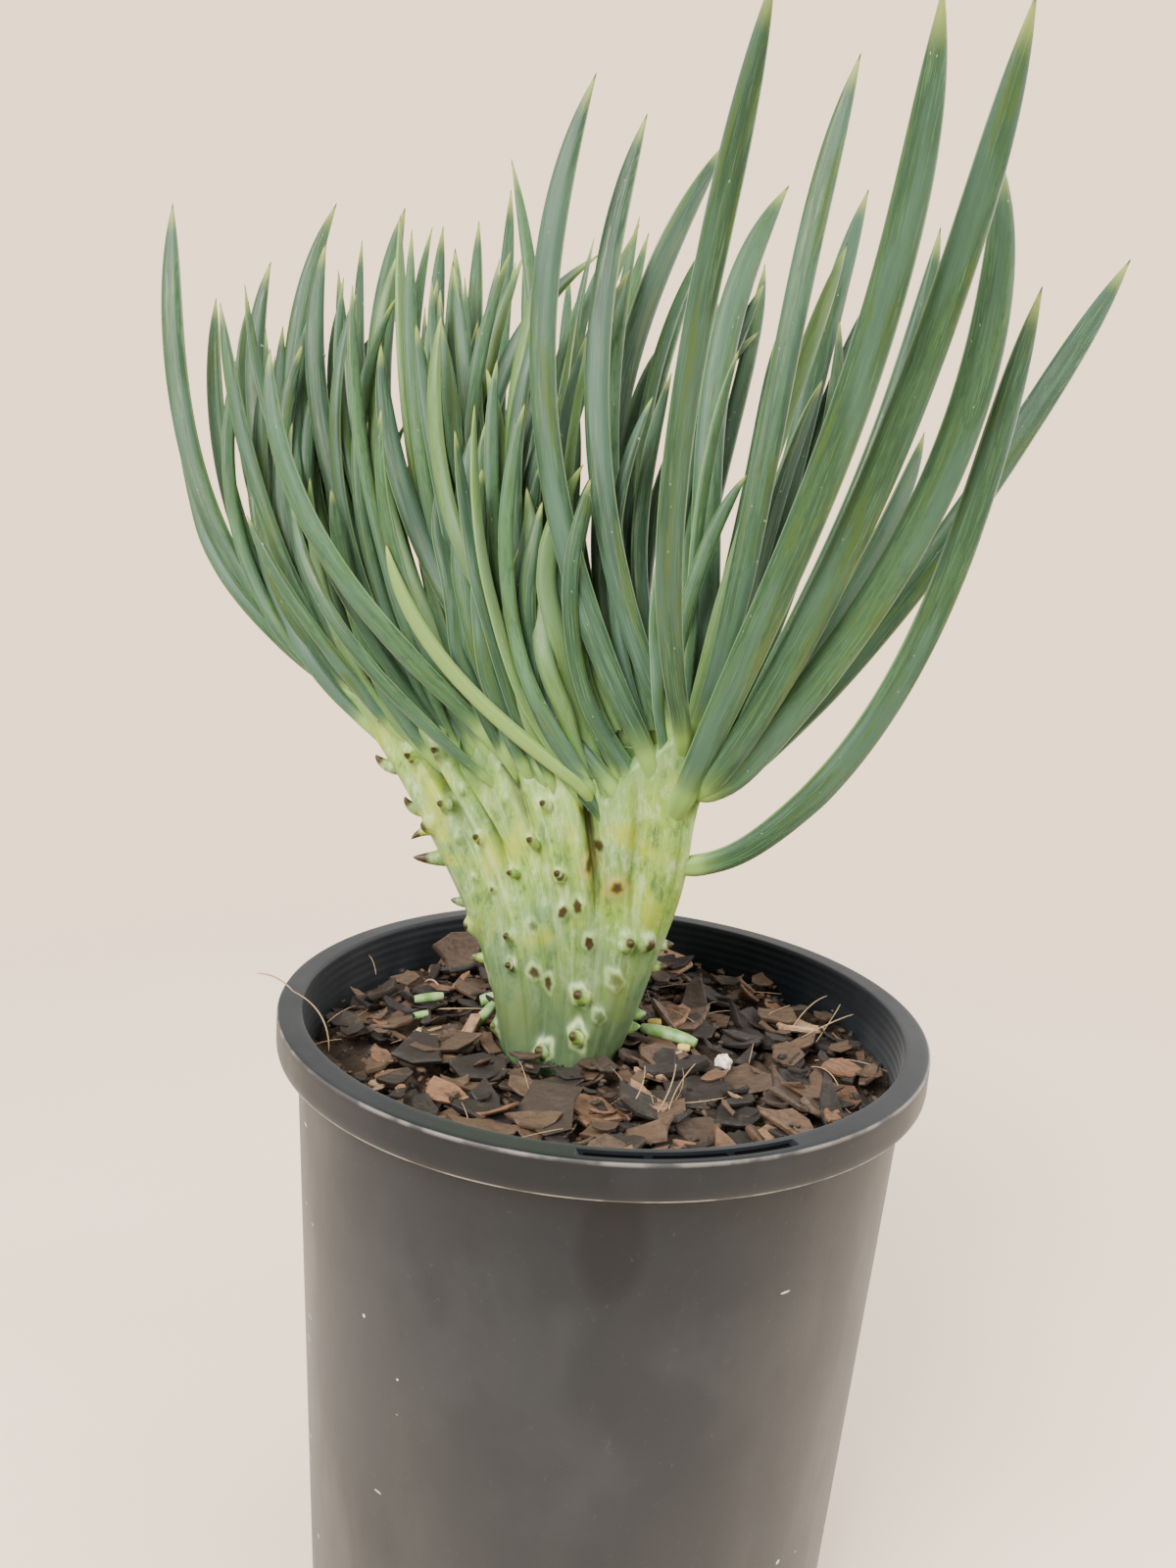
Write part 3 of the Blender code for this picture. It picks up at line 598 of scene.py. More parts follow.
def rowRoots(rows):
    # Where each leaf starts: its place across, side and height, read on the skin of the stem.
    rows = np.asarray(rows, float)
    return stemSkin(rows[:, 0], rows[:, 1], rows[:, 2])


def buildLeaves(stem):
    # Numbered leaves first, eased apart and kept off the stem, each swept as a tube of its own.
    # The inner leaves then ease around them as one piece.
    finish = leafMaterial()
    tree = BVHTree.FromPolygons(
        [vertex.co for vertex in stem.data.vertices], [tuple(face.vertices) for face in stem.data.polygons]
    )
    widths = halfWidths([row[-1] for row in leafRows], leaf["solidRoot"])
    lines = settled(swept(rowRoots(leafRows), leafRows), widths, 240, np.ones(len(leafRows)), tree)
    shown = shownWidths(leafRows)
    for index, row in enumerate(leafRows):
        seed = 1.6 if index in leaf["yellowed"] else float(dice.uniform())
        twist = dice.normal(0, 14)
        part = leafTube(row, lines[index], shown[index], seed, leaf["rings"], leaf["sides"], twist)
        made = joined(f"leaf{index + 1:02d}", [part])
        made.data.materials.append(finish)
        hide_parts(f"leaf_{index + 1:02d}")
        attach(made, "root")
    print("leaves made", len(leafRows))
    inner = innerRows()
    innerHalf = halfWidths(inner[:, -1], leaf["solidRoot"])
    every = np.concatenate([lines, swept(rowRoots(inner), inner)])
    free = np.concatenate([np.zeros(len(lines)), np.ones(len(inner))])
    every = settled(every, np.concatenate([widths, innerHalf]) * 0.8, 60, free, gap=0.0, smoothShare=1.0)
    innerShown = shownWidths(inner)
    parts = []
    for index, row in enumerate(inner):
        parts.append(
            leafTube(
                row,
                every[len(lines) + index],
                innerShown[index],
                1.36 if dice.uniform() < leaf["youngShare"] else float(dice.uniform()),
                leaf["innerRings"],
                leaf["innerSides"],
                dice.normal(0, 30),
            )
        )
    made = joined("innerLeaves", parts)
    made.data.materials.append(finish)
    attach(made, "root")
    print("inner leaves made", len(inner))


stem = {
    "around": 400,
    "up": 200,
    "green": (0.22, 0.36, 0.040),
    "blue": (0.15, 0.29, 0.10),
    "streak": (0.43, 0.55, 0.25),
    "yellow": (0.36, 0.43, 0.022),
    "scar": (0.045, 0.030, 0.006),
    "rimColour": (0.38, 0.50, 0.20),
    "orange": (0.36, 0.24, 0.02),
    # Each wave of the skin: how many across the stem, how far it climbs, its height in mm.
    "waves": ((5, 2, 0.80), (9, 3, 0.62), (15, 2.5, 0.42), (24, 3, 0.24), (41, 2, 0.09)),
    "cleftDepth": 0.0045,
    "slitDepth": 0.0042,
    "grooveDepth": 0.0019,
    "crown": 0.0032,
    "backScars": 34,
}
# Scars on the front: place across in mm, height over the mix in mm, radius in mm, height of the
# mound, depth of the middle, darkness of the middle, orange.
scarRows = (
    (-53, 73, 1.3, 0.9, 0.2, 0.8, 0),
    (-45, 60, 1.2, 0.9, 0.2, 0.9, 0),
    (-39, 64, 1.3, 1.0, 0.2, 0.6, 0),
    (-37, 52, 1.4, 1.1, 0.2, 0.5, 0),
    (-40, 45, 1.5, 1.2, 0.3, 0.8, 0),
    (-29, 47, 1.2, 0.9, 0.2, 0.8, 0),
    (-34, 45, 1.0, 0.6, 0.1, 0.3, 0),
    (-21, 43, 1.1, 0.8, 0.1, 0.5, 0),
    (-17, 47, 1.3, 1.0, 0.2, 0.6, 0),
    (-15, 58, 1.2, 0.9, 0.2, 0.8, 0),
    (-20, 57, 0.9, 0.5, 0.1, 0.4, 0),
    (-25, 61, 0.8, 0.4, 0.1, 0.6, 0),
    (-11, 43, 1.3, 0.8, 0.3, 0.9, 0),
    (-5, 46, 1.8, 0.3, 0.3, 0.7, 1),
    (1, 45, 1.9, 0.3, 0.3, 0.7, 1),
    (-3, 51, 1.3, 0.5, 0.4, 0.8, 0),
    (-7, 37, 1.5, 0.5, 0.4, 0.9, 0),
    (-10, 35, 1.5, 0.5, 0.4, 0.9, 0),
    (-16, 32, 1.6, 0.2, 0.3, 0.5, 0),
    (-26, 36, 0.9, 0.5, 0.1, 0.7, 0),
    (-30, 37, 0.8, 0.3, 0.1, 0.5, 0),
    (-4, 29, 1.5, 0.5, 0.5, 1.0, 0),
    (4, 29, 1.8, 1.0, 0.4, 0.7, 0),
    (8, 28, 1.6, 1.2, 0.3, 0.9, 0),
    (-21, 27, 1.4, 0.9, 0.3, 0.5, 0),
    (-32, 25, 1.8, 1.1, 0.3, 0.7, 0),
    (-20, 21, 1.3, 0.9, 0.2, 0.9, 0),
    (-15, 21, 1.5, 0.4, 0.4, 0.8, 0),
    (-12, 19, 1.5, 0.3, 0.4, 0.8, 0),
    (2, 21, 1.9, 0.5, 0.5, 0.5, 0),
    (-5, 17, 1.9, 1.0, 0.8, 0.7, 0),
    (-27, 16, 2.3, 0.3, 0.5, 0.5, 0),
    (-5, 8, 2.1, 1.0, 0.9, 0.5, 0),
    (-12, 4, 2.0, 1.0, 0.9, 0.6, 0),
    (-23, 5, 1.6, 0.9, 0.3, 0.3, 0),
    (-1, 13, 1.4, 0.5, 0.3, 0.4, 0),
    (-24, 56, 0.9, 0.5, 0.1, 0.4, 0),
    (-33, 57, 0.9, 0.5, 0.1, 0.5, 0),
)


def buildStem():
    # The stem: the oval sheet carried up from the mix to the crest, with upright flutes, mounds where
    # old leaves stood, sunken scars and rounded lobes at its top.
    turn = np.linspace(0, 2 * np.pi, stem["around"], endpoint=False)[None, :]
    rise = np.linspace(-0.07, 1.0, stem["up"])[:, None]
    across = np.cos(turn) + 0 * rise
    rise = rise + 0 * turn
    signed = -np.sign(np.sin(turn)) * np.abs(np.sin(turn)) ** 0.9 + 0 * rise
    depth = stemDepth(0 * across, rise)
    groove = stemDepth(np.clip(across, -0.95, 0.95), rise) / stemDepth(0 * across, rise)
    groove = groove / np.sqrt(1 - np.clip(across, -0.95, 0.95) ** 2) ** 0.9
    middle = stemMiddle(across, rise)
    offset = signed * depth * groove
    points = middle + np.stack([0 * offset, offset, 0 * offset], axis=-1)
    out = np.stack([across * 0.5, signed, 0 * across], axis=-1)
    out /= np.linalg.norm(out, axis=-1, keepdims=True)
    fade = np.clip(rise, 0, 1)
    relief = 0 * across
    for pace, climb, size in stem["waves"]:
        for _ in range(3):
            phase = dice.uniform(0, 6.3, 2)
            turns = pace * dice.uniform(0.8, 1.2) * across
            wave = np.sin(turns + phase[0] + dice.uniform(-climb, climb) * rise * 2)
            swell = np.sin(phase[1] + 7 * rise + 2 * across) * (0.30 + 0.35 * fade)
            relief = relief + size * mm * wave * swell
    slope = 0.06 * (1 - rise)
    cleft = bump(across, 0.40 - slope, 0.036) * np.clip((rise - 0.50) / 0.3, 0, 1)
    slit = bump(across, -0.556 - slope, 0.035) + bump(across, -0.31, 0.03) + bump(across, -0.066, 0.03)
    slit = slit * np.clip((rise - 0.62) / 0.3, 0, 1)
    groove = sum(bump(across, at, 0.07) for at in (-0.556, -0.31, -0.066, 0.15, 0.38, 0.7))
    relief = relief - stem["cleftDepth"] * cleft - stem["slitDepth"] * slit
    relief = relief - stem["grooveDepth"] * groove * np.clip((rise - 0.2) / 0.5, 0, 1)
    rows = np.array(scarRows, float)
    middleX = rows[:, 0] * mm
    height = rows[:, 1] * mm
    scarRise = np.clip(height / 0.067, 0.02, 0.99)
    left = stemMiddle(-np.ones(len(rows)), scarRise)[:, 0]
    right = stemMiddle(np.ones(len(rows)), scarRise)[:, 0]
    scarAcross = np.clip(2 * (middleX - left) / (right - left) - 1, -0.985, 0.985)
    backs = stem["backScars"]
    scarAcross = np.concatenate([scarAcross, dice.uniform(-0.95, 0.95, backs)])
    scarRise = np.concatenate([scarRise, dice.uniform(0.05, 0.85, backs)])
    side = np.concatenate([-np.ones(len(rows)), np.ones(backs)])
    backRows = rows[dice.integers(0, len(rows), backs)]
    rows = np.vstack([rows, backRows])
    centres = stemSkin(scarAcross, side, scarRise)
    dark = np.zeros_like(across)
    rimMask = np.zeros_like(across)
    orange = np.zeros_like(across)
    for centre, row in zip(centres, rows):
        radius = row[2] * mm
        shift = points - centre
        shift[..., 2] *= 0.75
        around = np.arctan2(shift[..., 2], shift[..., 0])
        phase = dice.uniform(0, 6.3, 2)
        apart = np.linalg.norm(shift, axis=-1) / radius
        ragged = apart * (1 + 0.16 * np.sin(2 * around + phase[0]) + 0.10 * np.sin(5 * around + phase[1]))
        mound = row[3] * 2.1 * mm * np.exp(-((apart / 0.92) ** 2.6))
        mound = mound - row[4] * mm * np.exp(-((apart / 0.55) ** 4))
        relief = relief + np.where(apart < 4, mound, 0)
        dark = np.maximum(dark, row[5] * np.exp(-((ragged / 0.68) ** 4)))
        rimMask = np.maximum(rimMask, np.exp(-(((ragged - 0.95) / 0.20) ** 2)) * (0.3 + row[4]))
        orange = np.maximum(orange, row[6] * np.exp(-((ragged / 1.2) ** 2)))
    points = points + out * relief[..., None]
    tops = []
    for step in np.linspace(0.12, 1.0, 9):
        ring = points[-1] * 1.0
        shrink = math.cos(step * math.pi / 2)
        centreY = middle[-1, :, 1]
        ring[:, 1] = centreY + (ring[:, 1] - centreY) * max(shrink, 0.02)
        rounded = math.sin(step * math.pi / 2) * np.sqrt(np.clip(1 - across[-1] ** 2, 0, 1))
        ring[:, 2] += stem["crown"] * rounded
        tops.append(ring)
    rings = np.concatenate([points, tops])
    extra = len(tops)

    def extended(values):
        return np.concatenate([values, np.repeat(values[-1:], extra, axis=0)])

    marks = np.stack([extended(dark), extended(rimMask), extended(orange)], axis=-1)
    upward = np.stack([across * 0.03, rise * 0.06, signed * 0.01], axis=-1)
    shade = extended(np.clip(cleft + slit, 0, 1))
    made = joined(
        "stem",
        [(rings, {"stemMarks": marks, "stemPlace": extended(upward), "stemShade": shade})],
    )
    made.data.materials.append(stemMaterial())
    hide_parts("crested_stem")
    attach(made, "root")
    print("stem made")
    fronts = len(scarRows)
    columns = (scarAcross, scarRise, rows[:, 2], rows[:, 3], rows[:, 5])
    return np.stack([column[:fronts] for column in columns], axis=1)


def stemMaterial():
    # Pale green with yellow patches and upright streaks, painted shade darkening its foot, and the marks of
    # the scars.
    made, tree, shader = newMaterial("stemSkin")
    dark, rimMask, orange = parts3(tree, attribute(tree, "stemMarks", True))
    place = attribute(tree, "stemPlace", True)
    up = parts3(tree, place)[1]
    coordinates = objectCoordinates(tree)
    broad = noise(tree, coordinates, 60, 2)
    streaks = noise(tree, place, (560, 42, 260), 6, 0.62)
    fine = noise(tree, place, (1900, 90, 300), 3, 0.6)
    patches = noise(tree, coordinates, 85, 4, 0.6)
    colour = blend(tree, remap(tree, broad, 0.36, 0.60), stem["green"], stem["blue"])
    mottle = noise(tree, coordinates, (340, 340, 150), 6, 0.72)
    colour = layered(tree, colour, up, 0.030, 0.060, 0.5, stem["green"])
    colour = layered(tree, colour, mottle, 0.50, 0.64, 0.75, stem["streak"])
    colour = layered(tree, colour, mottle, 0.48, 0.36, 0.9, (0.070, 0.145, 0.036))
    colour = layered(tree, colour, patches, 0.50, 0.66, 0.85, stem["yellow"])
    colour = layered(tree, colour, streaks, 0.50, 0.68, 0.5, stem["streak"])
    colour = layered(tree, colour, streaks, 0.46, 0.32, 0.5, (0.085, 0.17, 0.03))
    colour = layered(tree, colour, fine, 0.54, 0.70, 0.3, stem["streak"])
    # Painted shade: darker towards the foot of the stem.
    colour = layered(tree, colour, up, 0.038, 0.004, 0.9, (0.054, 0.094, 0.045))
    colour = layered(tree, colour, up, 0.052, 0.061, 0.6, (0.12, 0.23, 0.075))
    colour = blend(tree, maths(tree, "MULTIPLY", rimMask, 0.75), colour, stem["rimColour"])
    colour = blend(tree, maths(tree, "MULTIPLY", orange, 0.8), colour, stem["orange"])
    colour = layered(tree, colour, dark, 0.15, 0.75, 1.0, stem["scar"])
    shade = maths(tree, "MULTIPLY", attribute(tree, "stemShade"), 0.85)
    colour = blend(tree, shade, colour, (0.045, 0.038, 0.014))
    feed(tree, shader.inputs["Base Color"], colour)
    shader.inputs["Roughness"].default_value = 0.46
    shader.inputs["Subsurface Weight"].default_value = 0.2
    shader.inputs["Subsurface Radius"].default_value = (0.002, 0.003, 0.001)
    feed(tree, shader.inputs["Normal"], bumped(tree, maths(tree, "ADD", streaks, mottle), 0.35, 0.0007))
    return made


# Dried stubs on the stem's edges: place across the stem, side, height up it, length and radius in mm,
# lean at the root and the tip in degrees, darkness. Pegs stand on the raised scars of its front.
stubs = {
    "sides": 12,
    "rings": 14,
    "pegFrom": 0.8,
    "pegLength": 2.3,
    "rows": (
        (-0.98, -0.2, 0.93, 3.4, 0.9, -70, -20, 0.3),
        (-0.99, -0.1, 0.80, 4.0, 1.0, -80, -10, 0.8),
        (-0.99, -0.2, 0.69, 3.6, 0.9, -75, 10, 0.9),
        (-0.99, 0.2, 0.63, 4.2, 0.8, -100, -150, 0.9),
        (-0.99, -0.2, 0.56, 6.0, 1.2, -95, -80, 1.0),
        (-0.99, -0.4, 0.44, 2.6, 0.8, -90, -60, 0.6),
        (-0.98, -0.4, 0.28, 2.4, 0.8, -90, -50, 0.5),
        (0.99, -0.2, 0.42, 2.6, 0.9, 85, 60, 0.9),
        (0.99, -0.3, 0.34, 2.8, 0.9, 90, 60, 0.8),
        (0.98, -0.3, 0.16, 2.6, 1.0, 90, 50, 0.3),
        (0.97, 0.3, 0.10, 3.0, 1.1, 85, 60, 0.2),
    ),
}


def buildStubs(pegs):
    # Short cones that bend: each has its radius shrinking along an arc that leans from root to tip.
    rows = [(*row, -0.3) for row in stubs["rows"]]
    for across, rise, radius, mound, dark in pegs:
        if mound >= stubs["pegFrom"]:
            lean = dice.uniform(-75, -30) if across < 0.5 else dice.uniform(10, 70)
            length = stubs["pegLength"] * dice.uniform(0.7, 1.25)
            rows.append((across, -1.0, rise, length, radius * 0.56, lean, lean * 0.6, 0.4 + 0.6 * dark, -1.3))
    sides, rings = stubs["sides"], stubs["rings"]
    share = np.linspace(0, 1, rings)
    parts = []
    for across, side, rise, length, radius, startLean, endLean, dark, forward in rows:
        root = stemSkin(np.array([across]), np.array([side]), np.array([rise]), 0.0002)[0]
        lean = np.radians(startLean + (endLean - startLean) * share)
        step = np.stack([np.sin(lean), forward + 0 * lean, np.cos(lean)], axis=1)
        step *= 1.6 * length * mm / rings / np.linalg.norm(step, axis=1)[:, None]
        line = root + np.cumsum(step, axis=0) - step * 4
        half = radius * mm * (2.0 - 1.3 * share) * np.sqrt(np.clip(1.02 - share**4, 0, 1))
        points = line[:, None] + half[:, None, None] * unitRings(line, sideways, sides)
        mask = np.clip((share - 0.5) / 0.3, 0, 1)[:, None] * dark * np.ones((1, sides))
        marks = np.stack([mask, 0 * mask, 0 * mask], axis=-1)
        place = np.stack([points[..., 0], 0.042 + 0 * points[..., 1], points[..., 2]], axis=-1)
        parts.append((points, {"stemMarks": marks, "stemPlace": place, "stemShade": 0 * mask}))
    made = joined("leafStubs", parts)
    made.data.materials.append(bpy.data.materials["stemSkin"])
    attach(made, "root")
    print("stubs made")


pot = {
    "around": 600,
    "slotStart": -2.0,
    "slotEnd": 31.0,
    "ribs": (8.0, 20.5),
    "slotDrop": 0.0010,
    "ribDrop": 0.0012,
    "ridge": 0.00004,
    "ridgeStep": 0.0021,
    "black": (0.0050, 0.0080, 0.0120),
    "scuff": (0.55, 0.54, 0.52),
    "smudge": (0.0045, body["potHeight"] - 0.0180, 0.0060, 0.0115),
}


def outerRadius(z):
    # The wall narrows evenly downwards: a fixed loss of radius for each metre below the rim.
    return body["rimRadius"] - body["rimWidth"] + body["wall"] - body["taper"] * (body["potHeight"] - z)


def innerRadius(z):
    # The wall has the same thickness at every height.
    return outerRadius(z) - body["wall"]


def buildPot():
    # The pot: a rounded wall-and-rim profile turned about the upright axis. The narrow tag slots drop
    # away between the wall and the skirt, over their own angles, with near-black sheets in them as painted
    # shade.
    top, wall = body["potHeight"], body["wall"]
    skirt = top - body["rimDrop"]
    rim = body["rimRadius"]
    foot = outerRadius(0)
    profile = [(foot - 0.0120, 0.0008), (foot - 0.0105, 0.0), (foot - 0.0018, 0.0)]
    profile += [(foot - 0.0006, 0.0004), (outerRadius(0.0016), 0.0016)]
    profile += [(outerRadius(z), z) for z in np.linspace(0.004, skirt - 0.001, 26)]
    profile += [(outerRadius(top - wall), top - wall - 0.0002), (rim - wall - 0.0002, top - wall - 0.0002)]
    profile += [(rim - wall - 0.0005, skirt + 0.0004), (rim - wall - 0.0003, skirt + 0.0001)]
    profile += [(rim - 0.0006, skirt), (rim - 0.0002, skirt + 0.00015), (rim - 0.0001, skirt + 0.0005)]
    profile += [(rim + 0.0, z) for z in np.linspace(skirt + 0.0012, top - 0.0009, 5)]
    angle = np.linspace(0, np.pi / 2, 5)[1:]
    profile += [(rim - 0.0006 + 0.0006 * math.cos(a), top - 0.0006 + 0.0006 * math.sin(a)) for a in angle]
    inside, outside = outerRadius(top) + 0.0003, rim - wall - 0.0003
    profile += [(outside + 0.0001, top), (outside, top), (inside, top), (inside - 0.0001, top)]
    edge = innerRadius(top)
    lip = 0.0005
    profile += [(edge + lip - lip * math.sin(a), top - lip + lip * math.cos(a)) for a in angle - angle[0]]
    heights = np.linspace(top - 0.0010, level - 0.006, 64)
    ridge, ridgeStep = pot["ridge"], pot["ridgeStep"]
    profile += [(innerRadius(z) - ridge * math.sin(z / ridgeStep * 2 * math.pi), z) for z in heights]
    profile += [(innerRadius(z), z) for z in np.linspace(level - 0.012, body["floor"] + 0.001, 6)]
    profile += [(innerRadius(body["floor"]) - 0.001, body["floor"]), (0.02, body["floor"])]
    profile = np.array(profile)
    turn = np.linspace(0, 2 * np.pi, pot["around"], endpoint=False)
    degrees = (np.degrees(turn) + 90 + 180) % 360 - 180
    slot = (degrees > pot["slotStart"]) & (degrees < pot["slotEnd"])
    for rib in pot["ribs"]:
        slot &= np.abs(degrees - rib) > 0.6
    rings = np.stack(
        [
            profile[:, 0, None] * np.cos(turn)[None, :],
            profile[:, 0, None] * np.sin(turn)[None, :],
            profile[:, 1, None] + 0 * turn[None, :],
        ],
        axis=-1,
    )
    inSlot = ((profile[:, 0] == outside) | (profile[:, 0] == inside)) & (profile[:, 1] == top)
    drop = np.where((degrees > pot["slotStart"]) & (degrees < pot["slotEnd"]), pot["ribDrop"], 0.0)
    drop = np.where(slot, pot["slotDrop"], drop)
    rings[inSlot, :, 2] -= drop[None, :]
    worn = edgeMask(profile, skirt, top)[:, None] * np.ones((1, len(turn)))
    made = joined("potBody", [(rings, {"potEdge": worn})])
    made.data.set_sharp_from_angle(angle=math.radians(50))
    made.data.materials.append(potMaterial())
    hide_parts("pot")
    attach(made, "root")
    # Near-black sheets with no specular laid in the slots: painted shade for the dark inside of each slot.
    slotShadeSheets = []
    marks = [pot["slotStart"], *pot["ribs"], pot["slotEnd"]]
    for low, high in zip(marks[:-1], marks[1:]):
        sweep = np.radians(np.linspace(low + 0.7, high - 0.7, 40) - 90)
        way = np.stack([np.cos(sweep), np.sin(sweep), 0 * sweep], axis=1)
        corners = ((inside, -0.0009), (outside, -0.0009), (outside, -0.0006), (inside, -0.0006))
        rings = np.stack([way * r + np.array([0, 0, top + z]) for r, z in corners], axis=1)
        slotShadeSheets.append((rings[::-1], {}))
    dark = joined("slotShade", slotShadeSheets)
    finish, tree, shader = newMaterial("slotShade")
    shader.inputs["Base Color"].default_value = (0.004, 0.004, 0.004, 1)
    shader.inputs["Roughness"].default_value = 0.9
    shader.inputs["Specular IOR Level"].default_value = 0.0
    dark.data.materials.append(finish)
    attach(dark, "root")
    print("pot made")


def edgeMask(profile, skirt, top):
    # 1 on the moulding lines: the skirt's lower edge and the rim's outer top edge.
    outer = profile[:, 0] > body["rimRadius"] - 0.0009
    low = outer & (profile[:, 1] < skirt + 0.0004)
    high = outer & (profile[:, 1] > top - 0.0006) & (profile[:, 1] < top - 0.00005)
    return low * 1.0 + high * 0.55


def patch(tree, coordinates, east, up, wide, tall):
    # 1 inside a soft oval on the front of the pot, from its place across and its height.
    x, y, z = parts3(tree, coordinates)
    across = maths(tree, "MULTIPLY", maths(tree, "SUBTRACT", x, east), 1 / wide)
    rise = maths(tree, "MULTIPLY", maths(tree, "SUBTRACT", z, up), 1 / tall)
    apart = maths(tree, "ADD", maths(tree, "MULTIPLY", across, across), maths(tree, "MULTIPLY", rise, rise))
    return maths(tree, "MULTIPLY", remap(tree, apart, 1.5, 0.4), maths(tree, "LESS_THAN", y, 0.0))


def potMaterial():
    # Satin black with clouds and smears, a painted reflection of the floor lightening the lower wall, one
    # damp smudge, flecks below the rim and worn edges.
    made, tree, shader = newMaterial("potPlastic")
    coordinates = objectCoordinates(tree)
    smear = noise(tree, coordinates, (34, 34, 10), 6, 0.65)
    stain = noise(tree, coordinates, (21, 21, 15), 3, 0.55)
    dust = noise(tree, coordinates, 900, 3, 0.7)
    cloud = noise(tree, coordinates, 42, 4, 0.6)
    colour = blend(tree, remap(tree, cloud, 0.38, 0.62, 0.0, 0.9), pot["black"], (0.0125, 0.0165, 0.0205))
    colour = layered(tree, colour, smear, 0.52, 0.66, 0.6, (0.0205, 0.0225, 0.0285))
    height = parts3(tree, coordinates)[2]
    top = body["potHeight"]
    # Painted reflection of the bright floor: the wall lighter from just under the rim down towards its foot.
    colour = layered(tree, colour, height, top - 0.017, top - 0.070, 0.4, (0.0150, 0.0190, 0.0235))
    colour = layered(tree, colour, stain, 0.52, 0.62, 0.7, pot["black"])
    onRim = remap(tree, height, top - body["rimDrop"] - 0.0003, top - body["rimDrop"] + 0.0003, 0.0, 0.42)
    colour = blend(tree, onRim, colour, (0.0016, 0.0024, 0.0038))
    damp = patch(tree, coordinates, *pot["smudge"])
    colour = blend(tree, maths(tree, "MULTIPLY", damp, 0.95), colour, (0.0009, 0.0023, 0.0050))
    powder = noise(tree, coordinates, 520, 4, 0.75)
    colour = layered(tree, colour, powder, 0.60, 0.80, 0.35, (0.075, 0.073, 0.070))
    speck = maths(tree, "LESS_THAN", cells(tree, coordinates, 105), 0.058)
    scratch = maths(tree, "LESS_THAN", cells(tree, stretched(tree, coordinates, (46, 46, 230)), 1.0), 0.052)
    fleck = maths(tree, "MAXIMUM", speck, scratch)
    chosen = maths(tree, "GREATER_THAN", noise(tree, coordinates, 30, 1), 0.50)
    fleck = maths(tree, "MULTIPLY", fleck, chosen)
    fleck = maths(tree, "MULTIPLY", fleck, maths(tree, "LESS_THAN", height, top - body["rimDrop"]))
    colour = blend(tree, maths(tree, "MULTIPLY", fleck, 0.85), colour, pot["scuff"])
    mask = attribute(tree, "potEdge")
    worn = maths(tree, "MULTIPLY", mask, remap(tree, noise(tree, coordinates, 160, 3), 0.40, 0.62, 0.25, 1.0))
    colour = blend(tree, maths(tree, "MULTIPLY", worn, 0.8), colour, (0.36, 0.33, 0.29))
    feed(tree, shader.inputs["Base Color"], colour)
    feed(tree, shader.inputs["Roughness"], remap(tree, smear, 0.3, 0.7, 0.38, 0.54))
    shader.inputs["Specular IOR Level"].default_value = 0.26
    shader.inputs["Sheen Weight"].default_value = 0.11
    shader.inputs["Sheen Roughness"].default_value = 0.45
    feed(tree, shader.inputs["Normal"], bumped(tree, dust, 0.05, 0.0003))
    return made


mix = {
    "flakes": 560,
    "crumbs": 800,
    "fibres": 26,
    "dark": (0.012, 0.008, 0.006),
    "brown": (0.080, 0.046, 0.025),
    "red": (0.19, 0.092, 0.046),
    "tan": (0.40, 0.26, 0.15),
    # The larger chips that can be told apart: x, y, lift and length in mm, width share, thickness in
    # mm, turn, tilt and way of the tilt in degrees, kind.
    "chips": (
        (17.0, 53.0, 2.6, 17.0, 0.62, 1.6, 12, 20, 0, 0.95),
        (-38.5, 42.0, 5.0, 15.0, 0.72, 2.6, 40, 52, 30, 0.30),
        (14.5, -14.0, 2.8, 17.0, 0.34, 2.2, 12, 8, 20, 0.10),
        (-30.0, -33.0, 3.4, 12.0, 0.66, 1.2, -25, 16, 10, 0.86),
        (52.0, -7.0, 3.4, 14.5, 0.52, 1.4, 40, 18, 60, 0.88),
    ),
}


def buildMix():
    # The body of the mix: a round block whose top rises and falls with a few crossing waves.
    radius = innerRadius(level) - 0.0004
    share = np.linspace(0.0, 1.0, 60)[:, None]
    turn = np.linspace(0, 2 * np.pi, 120, endpoint=False)[None, :]
    r = radius * (1 - share) + 0.0004 * share
    x, y = r * np.cos(turn), r * np.sin(turn)
    z = level - 0.0015 + 0.0012 * np.sin(x * 420) * np.cos(y * 380) + 0.0008 * np.sin(x * 900 + y * 700)
    top = np.stack([x, y, z + 0 * x], axis=-1)
    low = []
    for z in (body["floor"] + 0.0004, 0.04, 0.08, level - 0.004):
        edge = innerRadius(z) - 0.0004
        low.append(np.stack([edge * np.cos(turn[0]), edge * np.sin(turn[0]), z + 0 * turn[0]], axis=-1))
    made = joined("mixBody", [(np.concatenate([np.array(low), top]), {})])
    finish, tree, shader = newMaterial("mixBody")
    coordinates = objectCoordinates(tree)
    grain = noise(tree, coordinates, 500, 5, 0.7)
    feed(tree, shader.inputs["Base Color"], blend(tree, grain, (0.010, 0.007, 0.005), mix["brown"]))
    shader.inputs["Roughness"].default_value = 0.95
    feed(tree, shader.inputs["Normal"], bumped(tree, grain, 0.9, 0.002))
    made.data.materials.append(finish)
    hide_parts("potting_mix")
    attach(made, "root")
    print("mix made")


